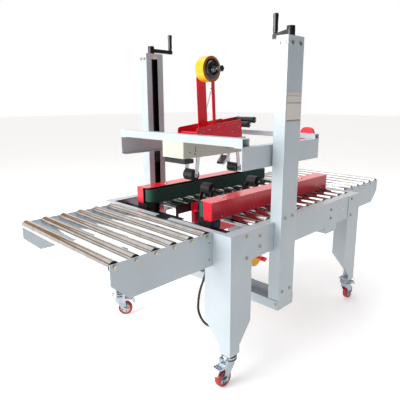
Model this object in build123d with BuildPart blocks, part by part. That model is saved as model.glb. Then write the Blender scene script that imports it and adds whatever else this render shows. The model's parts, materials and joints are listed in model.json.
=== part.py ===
from build123d import *
from math import cos, hypot, pi, radians, sin, tan
import os

os.makedirs("parts", exist_ok=True)

# A semi-automatic carton sealer: a roller bed on four castered legs, two driven side belts,
# a tape head that slides on two columns, and a second tape head sunk in the bed.
# Origin on the floor under the middle of the bed, +X the way cartons travel, +Z up.
# The near side is -Y, where side = -1, and the far side is +Y, where side = 1.

# ---------- bed frame ----------
body_length = 1020.0
body_width = 815.0
table_height = 604.0
caster_height = 125.0
panel_depth = 116.0
sheet = 3.0  # pressed steel of panels, legs and columns
side_flange = 44.5  # top flange of a side panel, measured inwards
end_flange = 21.0
lower_lip = 20.0
end_notch_width = 80.0
end_notch_depth = 22.0
end_notch_y = -20.0

# ---------- legs ----------
leg_side_width = 120.0
leg_end_width = 131.0
leg_taper_top = 238.0
leg_taper_bottom = 167.0
foot_width = 56.0
foot_step = 6.0
foot_plate = 4.0

# ---------- roller tables ----------
table_width = 634.0
table_length = 437.0
table_depth = 129.0
nose_height = 67.0
nose_run = 66.0
table_drop = 1.0  # top of the table plates below the top of the bed
table_tab = 30.0

# ---------- rollers ----------
roller_radius = 19.0
roller_wall = 1.5
roller_cap = 10.0
axle_radius = 5.0
roller_stand = 7.0  # top of the rollers above the top of the bed
roller_end_gap = 3.0
table_roller_count = 6
table_roller_inset = 17.0
table_roller_pitch = 78.5
bed_roller_count = 11
bed_roller_first = -300.0
bed_roller_pitch = 75.0
bed_half_gap = 75.0  # outer face of the rails beside the lower tape head
bed_split_end = 200.0  # rollers beyond this run the full width

# ---------- columns ----------
column_x = -195.0
column_width = 104.0
column_depth = 52.0
column_stand_off = 29.5  # outer face of a column beyond the bed
column_foot = 235.0
column_top = 1303.0
column_slot = 40.0
channel_height = 40.0
channel_tab_top = 320.0
bearing_height = 22.0
lower_bearing_z = 610.0

# ---------- head frame ----------
head_front_x = -420.0
head_rear_x = 110.0
head_side_gap = 8.0  # head frame to the inner face of a column
head_arm_bottom = 824.0
head_arm_depth = 85.0
head_beam_height = 32.0
rear_beam_height = 22.0
head_beam_depth = 40.0
rear_beam_depth = 32.0
head_top_flange = 40.0
head_low_flange = 22.0
carriage_height = 80.0
stop_rod_radius = 3.5
stop_rod_length = 65.0
bumper_inset = 62.0  # middle of the end bumper from the near face of the head
bumper_z = 884.0
bumper_width = 70.0
bumper_height = 146.0
bumper_thickness = 12.0

# ---------- lift screws and cranks ----------
screw_radius = 8.0
crank_hub_radius = 15.0
crank_hub_height = 36.0
crank_reach = 125.0
crank_arm_width = 20.0
crank_arm_height = 14.0
crank_grip_radius = 9.0
crank_grip_height = 78.0
crank_angles = {"near": 62.0, "far": 0.0}  # degrees from +X

# ---------- upper tape head ----------
housing_half_width = 66.0
housing_bottom = 840.0
housing_length = 400.0
housing_sheet = 3.0
plate_half_width = 61.0
plate_sheet = 3.0
upper_front_pivot = (-385.0, 860.0)
upper_front_elbow = (-300.0, 848.0)
upper_front_axis = (-316.0, 756.0)
upper_rear_pivot = (-150.0, 862.0)
upper_rear_elbow = (-40.0, 846.0)
upper_rear_axis = (-28.0, 758.0)
cutter_pivot = (-62.0, 868.0)
cutter_reach = 106.0
cutter_lean = 53.0  # degrees below level, pointing upstream
cutter_bracket = 12.0  # half width of the two cheeks that hold the cutter pin
guide_bar_front = -411.0
guide_bar_rear = -360.0
guide_bar_bottom = 817.0
guide_bar_height = 18.0
press_radius = 25.0
rear_press_radius = 22.0
press_half_width = 28.0
press_pin = 5.0
pivot_pin = 6.0
pivot_boss = 11.0
arm_thickness = 4.0
arm_gap = 2.0
guide_roller_radius = 13.0
guide_shaft = 4.0
guide_roller_axes = ((15.0, 963.0), (57.0, 983.0))

# ---------- tape and its spindle ----------
tape_radius = 55.0
tape_core_radius = 38.0
tape_width = 48.0
hub_disc_radius = 44.0
hub_disc_thickness = 8.0
spindle_radius = 8.0
spindle_reach = 66.0
knob_radius = 13.0
knob_length = 20.0
mast_sheet = 3.0
mast_offset = 27.0
mast_width = 114.0
mast_shift = 13.0  # middle of the upper mast behind its spindle
mast_strip = 57.0
mast_bar = 20.0
upper_tape_axis = (-208.0, 1208.0)
lower_tape_axis = (135.0, 250.0)

# ---------- lower tape head ----------
lower_front_x = -258.0
lower_tongue_x = -372.0  # the near plate reaches further upstream than the far one
lower_tongue_bottom = 556.0
lower_rear_x = 203.0
lower_bottom = 480.0
lower_half_width = 63.0
lower_front_pivot = (-238.0, 565.0)
lower_front_elbow = (-234.0, 598.0)
lower_front_axis = (-209.0, 678.0)
lower_rear_pivot = (45.0, 572.0)
lower_rear_elbow = (66.0, 596.0)
lower_rear_axis = (130.0, 667.0)

# ---------- side belts ----------
belt_half_gap = 149.0  # middle of the bed to the carton face of a belt
belt_front_x = -430.0
belt_rear_x = 450.0
pulley_radius = 27.0
belt_thickness = 4.0
belt_height = 58.0
belt_bottom = 620.0
cover_sheet = 2.0
cover_reach = 92.0  # carton face of the belt to the outer wall of its cover
cover_top_gap = 6.0
cover_wall = 47.0  # carton face of the belt to the inner edge of the end walls
cover_lap = 18.0  # top of the cover stops this far short of the carton face
carriage_sheet = 4.0
carriage_lift = 4.0  # belt above its carriage plate
rod_radius = 8.0
rod_z = 545.0
front_rod_x = -362.0
rear_rod_x = 262.5
width_screw_x = 337.5
bush_half = 13.0
bush_length = 50.0
motor_size = 56.0
motor_height = 35.0
motor_shaft = 7.0
wheel_reach = 36.0
wheel_rim_radius = 45.0

# ---------- bed deck ----------
deck_top = 570.0
deck_rear_x = -378.0
near_deck_edge = -100.0
far_deck_edge = -20.0
cross_bar_width = 15.0
cross_bar_top = 535.0
cross_bar_height = 30.0
cross_bar_front_x = -345.0
cross_bar_rear_x = 208.0
rail_bottom = 563.0  # rails that carry the inner ends of the split rollers

# ---------- control box, lead and stop button ----------
box_length = 110.0
box_x = 175.0
box_width = 68.0
box_height = 36.0
box_corner = 14.0
lead_radius = 5.0
gland_radius = 9.0
gland_length = 16.0
stop_x = -295.0
stop_cap_radius = 18.0
stop_cap_height = 14.0
stop_stem_radius = 8.0
stop_travel = 5.0

# ---------- casters ----------
caster_trail = 35.0
wheel_radius = 36.0
wheel_width = 26.0
wheel_bore = 5.0
fork_sheet = 3.0
fork_head_radius = 26.0
fork_head_height = 12.0
stem_radius = 6.0
stem_nut_radius = 11.0
stem_nut_height = 8.0

# ---------- bolts ----------
bolt_radius = 6.5
label_x = (-240.0, -147.0)
label_z = (994.0, 1104.0)
label_thickness = 1.0
bolt_height = 4.0
socket_radius = 3.0
socket_depth = 2.0

# ---------- clearances ----------
sheet_gap = 1.0  # between sheet parts that slide past each other
running_gap = 0.1  # radial, round parts that turn or slide on each other
seat_gap = 0.1  # radial, round parts that stand still in their holes
screw_gap = 0.4  # radial, lift screw in its nut

# ---------- worked out ----------
end_face_x = body_length / 2
web_x = end_face_x - sheet
web_inner_x = web_x - sheet
leg_face_y = body_width / 2
panel_face_y = leg_face_y - sheet
panel_inner_y = panel_face_y - sheet
flange_inner_y = panel_face_y - side_flange
panel_bottom = table_height - panel_depth
leg_bottom = caster_height
column_face_y = leg_face_y + column_stand_off
column_inner_y = column_face_y - column_depth
head_face_y = column_inner_y - head_side_gap
pocket_y = column_inner_y - sheet_gap
pocket_low = column_x - column_width / 2 - sheet_gap
pocket_high = column_x + column_width / 2 + sheet_gap
screw_y = column_inner_y + column_depth / 2
table_top = table_height - table_drop
table_face_y = table_width / 2
table_inner_y = table_face_y - sheet
roller_axis_z = table_height + roller_stand - roller_radius
roller_top = roller_axis_z + roller_radius
table_roller_end = table_inner_y - roller_end_gap
bed_roller_end = flange_inner_y - roller_end_gap
table_end_x = end_face_x + table_length
head_arm_top = head_arm_bottom + head_arm_depth
head_beam_top = head_arm_top + head_beam_height
cover_top = belt_bottom + belt_height + cover_top_gap + cover_sheet
carriage_top = belt_bottom - carriage_lift
carriage_bottom = carriage_top - carriage_sheet
bed_rollers_x = [bed_roller_first + bed_roller_pitch * i for i in range(bed_roller_count)]
table_rollers_x = [table_end_x - table_roller_inset - table_roller_pitch * i for i in range(table_roller_count)]
sides = {"near": -1, "far": 1}


# ---------- helpers ----------
def across(side, low, high):
    """The y range from low to high on one side of the machine."""
    return (low, high) if side > 0 else (-high, -low)


def slab(xs, ys, zs, mode=Mode.ADD):
    """A flat-sided block between three pairs of limits."""
    with BuildSketch(Plane.XY.offset(zs[0])) as outline:
        with Locations(((xs[0] + xs[1]) / 2, (ys[0] + ys[1]) / 2)):
            Rectangle(xs[1] - xs[0], ys[1] - ys[0])
    extrude(outline.sketch, amount=zs[1] - zs[0], mode=mode)


def round_z(at, radius, zs, mode=Mode.ADD):
    """A cylinder along Z at the point (x, y)."""
    with BuildSketch(Plane.XY.offset(zs[0])) as outline:
        with Locations(at):
            Circle(radius)
    extrude(outline.sketch, amount=zs[1] - zs[0], mode=mode)


def round_y(at, radius, ys, mode=Mode.ADD):
    """A cylinder along Y at the point (x, z)."""
    with BuildSketch(Plane.XZ.offset(-ys[0])) as outline:
        with Locations(at):
            Circle(radius)
    extrude(outline.sketch, amount=ys[0] - ys[1], mode=mode)


def round_x(at, radius, xs, mode=Mode.ADD):
    """A cylinder along X at the point (y, z)."""
    with BuildSketch(Plane.YZ.offset(xs[0])) as outline:
        with Locations(at):
            Circle(radius)
    extrude(outline.sketch, amount=xs[1] - xs[0], mode=mode)


def plate_y(points, ys, mode=Mode.ADD):
    """A flat plate in the XZ plane with a straight-edged outline."""
    with BuildSketch(Plane.XZ.offset(-ys[0])) as outline:
        with BuildLine():
            Polyline(*points, close=True)
        make_face()
    extrude(outline.sketch, amount=ys[0] - ys[1], mode=mode)


def plate_x(points, xs, mode=Mode.ADD):
    """A flat plate in the YZ plane with a straight-edged outline."""
    with BuildSketch(Plane.YZ.offset(xs[0])) as outline:
        with BuildLine():
            Polyline(*points, close=True)
        make_face()
    extrude(outline.sketch, amount=xs[1] - xs[0], mode=mode)


def link_y(start, end, start_radius, end_radius, ys):
    """A flat link in the XZ plane, round at both ends."""
    with BuildSketch(Plane.XZ.offset(-ys[0])) as outline:
        with Locations(start):
            Circle(start_radius)
        with Locations(end):
            Circle(end_radius)
        make_hull()
    extrude(outline.sketch, amount=ys[0] - ys[1])


def save(part, name):
    """Labels a finished piece and writes it as its own STEP file."""
    part.label = name
    export_step(part, f"parts/{name}.step")


def panel_back(x):
    """Inner face of a side panel at x, which steps in behind a column."""
    in_pocket = pocket_low - sheet <= x + roller_radius and x - roller_radius <= pocket_high + sheet
    return pocket_y - sheet if in_pocket else panel_inner_y


# ---------- bed frame ----------
def side_panel(side):
    with BuildPart() as panel:
        full = (panel_bottom, table_height)
        slab((-web_inner_x, web_inner_x), across(side, panel_inner_y, panel_face_y), full)
        slab(
            (-web_inner_x, web_inner_x),
            across(side, flange_inner_y, panel_inner_y),
            (table_height - sheet, table_height),
        )
        slab(
            (-web_inner_x, web_inner_x),
            across(side, panel_face_y - lower_lip, panel_inner_y),
            (panel_bottom, panel_bottom + sheet),
        )
        slab((pocket_low, pocket_high), across(side, pocket_y, leg_face_y), full, Mode.SUBTRACT)
        slab((pocket_low - sheet, pocket_high + sheet), across(side, pocket_y - sheet, pocket_y), full)
        slab((pocket_low - sheet, pocket_low), across(side, pocket_y, panel_face_y), full)
        slab((pocket_high, pocket_high + sheet), across(side, pocket_y, panel_face_y), full)
        bore = across(side, panel_inner_y - sheet, leg_face_y)
        round_y((width_screw_x, rod_z), screw_radius + running_gap, bore, Mode.SUBTRACT)
        if side > 0:
            round_y((stop_x, rod_z), stop_stem_radius + running_gap, bore, Mode.SUBTRACT)
    return panel.part


for name, side in sides.items():
    save(side_panel(side), f"{name}_side_panel")

with BuildPart() as cross_members:
    for end in (-1, 1):
        xs = sorted((end * web_inner_x, end * web_x))
        slab(xs, (-panel_face_y, panel_face_y), (panel_bottom, table_height))
        xs = sorted((end * (web_x - end_flange), end * web_inner_x))
        slab(xs, (-flange_inner_y, flange_inner_y), (table_height - sheet, table_height))
    slab(
        (-web_x, -web_x + end_flange),
        (end_notch_y - end_notch_width / 2, end_notch_y + end_notch_width / 2),
        (table_height - end_notch_depth, table_height),
        Mode.SUBTRACT,
    )
save(cross_members.part, "cross_members")


def leg_outline(corner, inward, width):
    """Flange outline from the corner edge, wide above and tapering to the foot."""
    return [
        (corner, table_height),
        (corner + inward * width, table_height),
        (corner + inward * width, leg_taper_top),
        (corner + inward * (foot_width + foot_step), leg_taper_bottom),
        (corner + inward * foot_width, leg_taper_bottom - foot_step),
        (corner + inward * foot_width, leg_bottom),
        (corner, leg_bottom),
    ]


corners = [(end, side) for end in (-1, 1) for side in (-1, 1)]
foot_x = end_face_x - foot_width / 2
foot_y = leg_face_y - foot_width / 2
with BuildPart() as corner_legs:
    for end, side in corners:
        plate_y(leg_outline(end * end_face_x, -end, leg_side_width), across(side, panel_face_y, leg_face_y))
        xs = sorted((end * web_x, end * end_face_x))
        plate_x(leg_outline(side * leg_face_y, -side, leg_end_width), xs)
        xs = sorted((end * (end_face_x - foot_width), end * web_x))
        slab(xs, across(side, leg_face_y - foot_width, panel_face_y), (leg_bottom, leg_bottom + foot_plate))
        hole = (leg_bottom, leg_bottom + foot_plate)
        round_z((end * foot_x, side * foot_y), stem_radius + running_gap, hole, Mode.SUBTRACT)
save(corner_legs.part, "corner_legs")


# ---------- roller tables ----------
def table_sides(end):
    with BuildPart() as table:
        for side in (-1, 1):
            outline = [
                (end * end_face_x, table_top),
                (end * table_end_x, table_top),
                (end * table_end_x, table_top - nose_height),
                (end * (table_end_x - nose_run), table_top - table_depth),
                (end * end_face_x, table_top - table_depth),
            ]
            plate_y(outline, across(side, table_inner_y, table_face_y))
            xs = sorted((end * end_face_x, end * (end_face_x + sheet)))
            tab = across(side, table_inner_y - table_tab, table_inner_y)
            slab(xs, tab, (table_top - table_depth, table_top - 2 * roller_radius))
        for x in table_rollers_x:
            hole = (-table_face_y, table_face_y)
            round_y((end * x, roller_axis_z), axle_radius + seat_gap, hole, Mode.SUBTRACT)
    return table.part


save(table_sides(-1), "entry_table_sides")
save(table_sides(1), "exit_table_sides")


# ---------- rollers ----------
def roller_shell(x, y_low, y_high, bore):
    """A thin tube with a bearing cap in each end, on the axle line of the bed."""
    round_y((x, roller_axis_z), roller_radius, (y_low, y_high))
    hollow = (y_low + roller_cap, y_high - roller_cap)
    round_y((x, roller_axis_z), roller_radius - roller_wall, hollow, Mode.SUBTRACT)
    round_y((x, roller_axis_z), bore, (y_low, y_high), Mode.SUBTRACT)


for number, x in enumerate(table_rollers_x, 1):
    with BuildPart() as entry_roller:
        roller_shell(-x, -table_roller_end, table_roller_end, axle_radius + running_gap)
    save(entry_roller.part, f"entry_roller_{number}")

with BuildPart() as bed_rollers:
    for x in bed_rollers_x:
        if x + roller_radius < bed_split_end:
            spans = [(-bed_roller_end, -bed_half_gap - roller_end_gap), (bed_half_gap + roller_end_gap, bed_roller_end)]
            axles = [(-panel_back(x), -bed_half_gap), (bed_half_gap, panel_back(x))]
        else:
            spans = [(-bed_roller_end, bed_roller_end)]
            axles = [(-panel_back(x), panel_back(x))]
        for span, axle in zip(spans, axles):
            roller_shell(x, span[0], span[1], axle_radius)
            round_y((x, roller_axis_z), axle_radius, axle)
    for x in table_rollers_x:
        roller_shell(x, -table_roller_end, table_roller_end, axle_radius)
        round_y((x, roller_axis_z), axle_radius, (-table_inner_y, table_inner_y))
save(bed_rollers.part, "bed_rollers")


# ---------- columns ----------
def column(side):
    with BuildPart() as post:
        xs = (column_x - column_width / 2, column_x + column_width / 2)
        zs = (column_foot, column_top)
        slab(xs, across(side, column_inner_y, column_face_y), zs)
        slab(
            (xs[0] + sheet, xs[1] - sheet),
            across(side, column_inner_y + sheet, column_face_y - sheet),
            (column_foot, column_top - sheet),
            Mode.SUBTRACT,
        )
        slab(
            (column_x - column_slot / 2, column_x + column_slot / 2),
            across(side, column_inner_y, column_inner_y + sheet),
            (column_foot, column_top - sheet),
            Mode.SUBTRACT,
        )
        cap = (column_top - sheet, column_top)
        round_z((column_x, side * screw_y), screw_radius + running_gap, cap, Mode.SUBTRACT)
    return post.part


for name, side in sides.items():
    save(column(side), f"{name}_column")

channel_low = column_x - column_width / 2 - sheet
channel_high = column_x + column_width / 2 + sheet
channel_bottom = column_foot - sheet
with BuildPart() as base_channel:
    ys = (-column_face_y, column_face_y)
    slab((channel_low, channel_high), ys, (channel_bottom, column_foot))
    for xs in ((channel_low, channel_low + sheet), (channel_high - sheet, channel_high)):
        slab(xs, ys, (column_foot, channel_bottom + channel_height))
    for side in (-1, 1):
        tab = across(side, column_face_y - 2 * sheet, column_face_y - sheet)
        slab((pocket_low + 3 * sheet, pocket_high - 3 * sheet), tab, (column_foot, channel_tab_top))
save(base_channel.part, "base_channel")

screw_bottom = lower_bearing_z + sheet
upper_bearing_z = column_top - sheet - bearing_height
with BuildPart() as screw_bearings:
    for side in (-1, 1):
        for z in (lower_bearing_z, upper_bearing_z):
            xs = (column_x - column_slot / 2 + sheet_gap, column_x + column_slot / 2 - sheet_gap)
            slab(xs, across(side, column_inner_y + sheet, column_face_y - sheet), (z, z + bearing_height))
            bore = (max(z, screw_bottom), z + bearing_height)
            round_z((column_x, side * screw_y), screw_radius + running_gap, bore, Mode.SUBTRACT)
save(screw_bearings.part, "screw_bearings")


# ---------- lift screws with their cranks ----------
def lift_screw(side, angle):
    grip = (
        column_x + crank_reach * cos(radians(angle)),
        side * screw_y + crank_reach * sin(radians(angle)),
    )
    base = column_top + sheet_gap
    arm_top = base + crank_hub_height * 2 / 3
    with BuildPart() as screw:
        centre = (column_x, side * screw_y)
        round_z(centre, screw_radius, (screw_bottom, base))
        round_z(centre, crank_hub_radius, (base, base + crank_hub_height))
        with BuildSketch(Plane.XY.offset(arm_top - crank_arm_height)) as arm:
            with Locations(centre):
                Circle(crank_hub_radius)
            with Locations(grip):
                Circle(crank_arm_width / 2)
            make_hull()
        extrude(arm.sketch, amount=crank_arm_height)
        round_z(grip, crank_grip_radius, (arm_top, arm_top + crank_grip_height))
        fillet(screw.faces().sort_by(Axis.Z)[-1].edges(), radius=crank_grip_radius / 3)
    return screw.part


for name, side in sides.items():
    save(lift_screw(side, crank_angles[name]), f"{name}_lift_screw")


# ---------- head frame ----------
def head_arm(side):
    xs = (head_front_x, head_rear_x)
    web_inner = head_face_y - sheet
    with BuildPart() as arm:
        slab(xs, across(side, web_inner, head_face_y), (head_arm_bottom, head_arm_top))
        top = across(side, head_face_y - head_top_flange, web_inner)
        slab(xs, top, (head_arm_top - sheet, head_arm_top))
        low = across(side, head_face_y - head_low_flange, web_inner)
        slab(xs, low, (head_arm_bottom, head_arm_bottom + sheet))
    return arm.part


for name, side in sides.items():
    save(head_arm(side), f"{name}_head_arm")

with BuildPart() as head_beams:
    for xs, height in (
        ((head_front_x, head_front_x + head_beam_depth), head_beam_height),
        ((head_rear_x - rear_beam_depth, head_rear_x), rear_beam_height),
    ):
        slab(xs, (-head_face_y, head_face_y), (head_arm_top, head_arm_top + height))
        hollow = (xs[0] + sheet, xs[1] - sheet)
        zs = (head_arm_top + sheet, head_arm_top + height - sheet)
        slab(hollow, (-head_face_y, head_face_y), zs, Mode.SUBTRACT)
save(head_beams.part, "head_beams")

with BuildPart() as end_bumper:
    with BuildSketch(Plane.YZ.offset(head_rear_x)):
        with Locations((bumper_inset - head_face_y, bumper_z)):
            RectangleRounded(bumper_width, bumper_height, bumper_width * 2 / 5)
    extrude(amount=bumper_thickness)
    fillet(end_bumper.faces().sort_by(Axis.X)[-1].edges(), radius=sheet)
save(end_bumper.part, "end_bumper")

with BuildPart() as head_carriages:
    for side in (-1, 1):
        half = column_width / 2 - sheet - sheet_gap
        inner = column_inner_y + sheet + sheet_gap
        outer = column_face_y - sheet - sheet_gap
        zs = (head_arm_top - carriage_height, head_arm_top)
        slab((column_x - half, column_x + half), across(side, inner, outer), zs)
        neck = column_slot / 2 - sheet_gap
        slab((column_x - neck, column_x + neck), across(side, head_face_y, inner), zs)
        round_z((column_x, side * screw_y), screw_radius + screw_gap, zs, Mode.SUBTRACT)
        for offset in (-2, 2):
            at = (column_x + offset * stop_rod_radius, side * (head_face_y + 2 * stop_rod_radius - sheet_gap))
            round_z(at, stop_rod_radius, (zs[0] - stop_rod_length, zs[0]))
save(head_carriages.part, "head_carriages")

# ---------- upper tape head ----------
housing_front = head_front_x
housing_rear = housing_front + housing_length
housing_top = head_arm_top
with BuildPart() as upper_cartridge_housing:
    zs = (housing_bottom, housing_top)
    slab((housing_front, housing_rear), (-housing_half_width, housing_half_width), zs)
    slab(
        (housing_front + housing_sheet, housing_rear),
        (-housing_half_width + housing_sheet, housing_half_width - housing_sheet),
        (housing_bottom, housing_top - housing_sheet),
        Mode.SUBTRACT,
    )
    slab(
        (head_front_x + head_beam_depth, housing_rear),
        (-plate_half_width - sheet_gap, plate_half_width + sheet_gap),
        (housing_top - housing_sheet, housing_top),
        Mode.SUBTRACT,
    )
    inside = housing_half_width - housing_sheet
    for x, z in (upper_front_pivot, upper_rear_pivot):
        round_y((x, z), pivot_pin, (-inside, inside))
save(upper_cartridge_housing.part, "upper_cartridge_housing")

plate_front = -337.0
plate_low = 884.0
cross_plate_z = 900.0
with BuildPart() as upper_cartridge_plates:
    for side in (-1, 1):
        outline = [
            (plate_front, plate_low),
            (plate_front, 955.0),
            (plate_front + 10.0, 962.0),
            (-52.0, 991.0),
            (-40.0, plate_low + 24.0),
            (-60.0, plate_low),
        ]
        plate_y(outline, across(side, plate_half_width - plate_sheet, plate_half_width))
    inside = plate_half_width - plate_sheet
    strap = [(-80.0, 930.0), (-40.0, 930.0), (72.0, 950.0), (72.0, 998.0), (-60.0, 985.0)]
    plate_y(strap, (inside, plate_half_width))
    slab((-262.0, -118.0), (-inside, inside), (cross_plate_z, cross_plate_z + plate_sheet))
    for x, z in ((plate_front + 19.0, 940.0), (-110.0, 940.0), (-75.0, 960.0)):
        round_y((x, z), guide_shaft, (-inside, inside))
    cheek = press_half_width + sheet_gap / 2
    bracket = (cutter_pivot[0] - cutter_bracket, cutter_pivot[0] + cutter_bracket)
    slab((-118.0, bracket[1]), (-cheek, cheek), (cross_plate_z, cross_plate_z + plate_sheet))
    for side in (-1, 1):
        zs = (cutter_pivot[1] - pivot_pin - sheet, cross_plate_z)
        slab(bracket, across(side, cheek - sheet, cheek), zs)
    round_y(cutter_pivot, pivot_pin, (-cheek, cheek))
    for x, z in guide_roller_axes:
        round_y((x, z), guide_shaft, (-plate_half_width, inside))
    for x, z in guide_roller_axes:
        roll = (-plate_half_width + 2 * sheet, inside - 2 * sheet)
        gap_radius = guide_shaft + running_gap
        with BuildSketch(Plane.XZ.offset(-roll[0])) as ring:
            with Locations((x, z)):
                Circle(guide_roller_radius)
                Circle(gap_radius, mode=Mode.SUBTRACT)
        extrude(ring.sketch, amount=roll[0] - roll[1])
save(upper_cartridge_plates.part, "upper_cartridge_plates")


def swing_arm(pivot, elbow, axis, inside, roller=0.0):
    """Two bent links on a pivot tube, with a fixed pin at the free end, and the roller if it is given."""
    outer = press_half_width + arm_gap + arm_thickness
    with BuildPart() as arm:
        for side in (-1, 1):
            link = across(side, press_half_width + arm_gap, outer)
            link_y(pivot, elbow, pivot_boss, press_pin * 2, link)
            link_y(elbow, axis, press_pin * 2, press_pin * 2, link)
        tube = outer + arm_gap
        round_y(pivot, pivot_boss, (-tube, tube))
        round_y(pivot, pivot_pin + running_gap, (-inside, inside), Mode.SUBTRACT)
        round_y(axis, press_pin, (-outer, outer))
        if roller:
            with BuildSketch(Plane.XZ.offset(press_half_width)) as ring:
                with Locations(axis):
                    Circle(roller)
                    Circle(press_pin + running_gap, mode=Mode.SUBTRACT)
            extrude(ring.sketch, amount=-2 * press_half_width)
    return arm.part


def press_roller(axis, radius):
    with BuildPart() as roller:
        with BuildSketch(Plane.XZ.offset(press_half_width)):
            with Locations(axis):
                Circle(radius)
                Circle(press_pin + running_gap, mode=Mode.SUBTRACT)
        extrude(amount=-2 * press_half_width)
        chamfer(roller.edges().filter_by(GeomType.CIRCLE).sort_by(SortBy.RADIUS)[-2:], length=sheet_gap)
    return roller.part


inside = housing_half_width - housing_sheet
save(swing_arm(upper_front_pivot, upper_front_elbow, upper_front_axis, inside), "upper_front_arm")
save(press_roller(upper_front_axis, press_radius), "upper_front_roller")
rear_arm = swing_arm(upper_rear_pivot, upper_rear_elbow, upper_rear_axis, inside, rear_press_radius)
save(rear_arm, "upper_rear_arm")

with BuildPart() as upper_cutter_arm:
    slope = radians(cutter_lean)
    tip = (cutter_pivot[0] - cutter_reach * cos(slope), cutter_pivot[1] - cutter_reach * sin(slope))
    half = press_half_width - 2 * sheet
    round_y(cutter_pivot, pivot_boss - arm_gap, (-half, half))
    link_y(cutter_pivot, tip, pivot_boss - arm_gap, arm_thickness, (-half, half))
    round_y(cutter_pivot, pivot_pin + running_gap, (-half, half), Mode.SUBTRACT)
save(upper_cutter_arm.part, "upper_cutter_arm")

with BuildPart() as upper_guide_bar:
    xs = (guide_bar_front, guide_bar_rear)
    slab(xs, (-inside, inside), (guide_bar_bottom, guide_bar_bottom + guide_bar_height))
    ear = (guide_bar_front, guide_bar_front + 2 * pivot_pin)
    for side in (-1, 1):
        slab(ear, across(side, inside - sheet, inside), (guide_bar_bottom, housing_bottom + guide_bar_height))
save(upper_guide_bar.part, "upper_guide_bar")


# ---------- tape, hub and mast ----------
def tape_roll(axis):
    with BuildPart() as roll:
        with BuildSketch(Plane.XZ.offset(tape_width / 2)):
            with Locations(axis):
                Circle(tape_radius)
                Circle(tape_core_radius, mode=Mode.SUBTRACT)
        extrude(amount=-tape_width)
    return roll.part


def tape_hub(axis):
    with BuildPart() as hub:
        face = -tape_width / 2 - seat_gap
        round_y(axis, hub_disc_radius, (face - hub_disc_thickness, face))
        round_y(axis, tape_core_radius - seat_gap, (face, tape_width / 2 - sheet))
        fillet(hub.faces().sort_by(Axis.Y)[0].edges(), radius=hub_disc_thickness / 4)
        bore = (face - hub_disc_thickness, tape_width / 2)
        round_y(axis, spindle_radius + running_gap, bore, Mode.SUBTRACT)
    return hub.part


def tape_mast(axis, root_z, lean, shift):
    """A windowed upright with its foot, the spindle and the brake knob, above or below root_z."""
    up = 1 if axis[1] > root_z else -1
    low_x = axis[0] - mast_width / 2 + shift + lean
    head_x = low_x - lean
    neck_z = axis[1] - up * tape_core_radius
    outline = [
        (low_x, root_z),
        (low_x + mast_width, root_z),
        (head_x + mast_width, neck_z),
        (axis[0] + mast_bar, axis[1] + up * mast_bar),
        (axis[0] - mast_bar, axis[1] + up * mast_bar),
        (head_x, neck_z),
    ]
    window = [
        (low_x + mast_strip, root_z + up * mast_bar),
        (low_x + mast_width - mast_bar, root_z + up * mast_bar),
        (head_x + mast_width - mast_bar, neck_z - up * mast_bar / 2),
        (head_x + mast_strip, neck_z - up * mast_bar / 2),
    ]
    with BuildPart() as mast:
        plate_y(outline, (mast_offset, mast_offset + mast_sheet))
        plate_y(window, (mast_offset, mast_offset + mast_sheet), Mode.SUBTRACT)
        foot = sorted((root_z, root_z + up * mast_sheet))
        slab((low_x, low_x + mast_width), (mast_offset, 2 * mast_offset), foot)
        round_y(axis, spindle_radius, (-spindle_reach, mast_offset))
        round_y(axis, spindle_radius * 3 / 2, (mast_offset - mast_sheet + running_gap, mast_offset))
        round_y(axis, knob_radius, (-spindle_reach - knob_length, -spindle_reach))
        for turn in (1, -1):
            wing = (axis[0] + turn * knob_radius, axis[1])
            round_y(wing, knob_radius / 2, (-spindle_reach - knob_length, -spindle_reach))
    return mast.part


save(tape_roll(upper_tape_axis), "tape_roll")
save(tape_hub(upper_tape_axis), "tape_hub")
save(tape_mast(upper_tape_axis, cross_plate_z + plate_sheet, 14.0, mast_shift), "tape_mast")

# ---------- lower tape head ----------
with BuildPart() as lower_cartridge_frame:
    inside = lower_half_width - plate_sheet
    for side in (-1, 1):
        front = lower_tongue_x if side < 0 else lower_front_x
        outline = [
            (front, table_height),
            (lower_rear_x, table_height),
            (lower_rear_x, lower_bottom),
            (lower_front_x + nose_run, lower_bottom),
            (lower_front_x, lower_bottom + nose_height / 2),
            (lower_front_x, lower_tongue_bottom),
        ]
        if side < 0:
            outline.append((front, lower_tongue_bottom))
        plate_y(outline, across(side, inside, lower_half_width))
    for x, z in (lower_front_pivot, lower_rear_pivot):
        round_y((x, z), pivot_pin, (-inside, inside))
    for x in (lower_front_x + nose_run, lower_front_x + 4 * nose_run, lower_rear_x - nose_run / 4):
        round_y((x, lower_bottom + nose_run / 4), pivot_pin, (-inside, inside))
    slab((lower_tape_axis[0] - mast_width / 2, lower_rear_x), (-inside, inside), (lower_bottom, lower_bottom + sheet))
    add(tape_mast(lower_tape_axis, lower_bottom, 0.0, 0.0))
save(lower_cartridge_frame.part, "lower_cartridge_frame")

save(swing_arm(lower_front_pivot, lower_front_elbow, lower_front_axis, inside), "lower_front_arm")
save(press_roller(lower_front_axis, press_radius), "lower_front_roller")
rear_arm = swing_arm(lower_rear_pivot, lower_rear_elbow, lower_rear_axis, inside, press_radius)
save(rear_arm, "lower_rear_arm")

with BuildPart() as lower_tape_roll:
    add(tape_roll(lower_tape_axis))
    bore = (-tape_width / 2, tape_width / 2)
    round_y(lower_tape_axis, tape_core_radius, bore)
    round_y(lower_tape_axis, spindle_radius + running_gap, bore, Mode.SUBTRACT)
save(lower_tape_roll.part, "lower_tape_roll")


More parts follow.
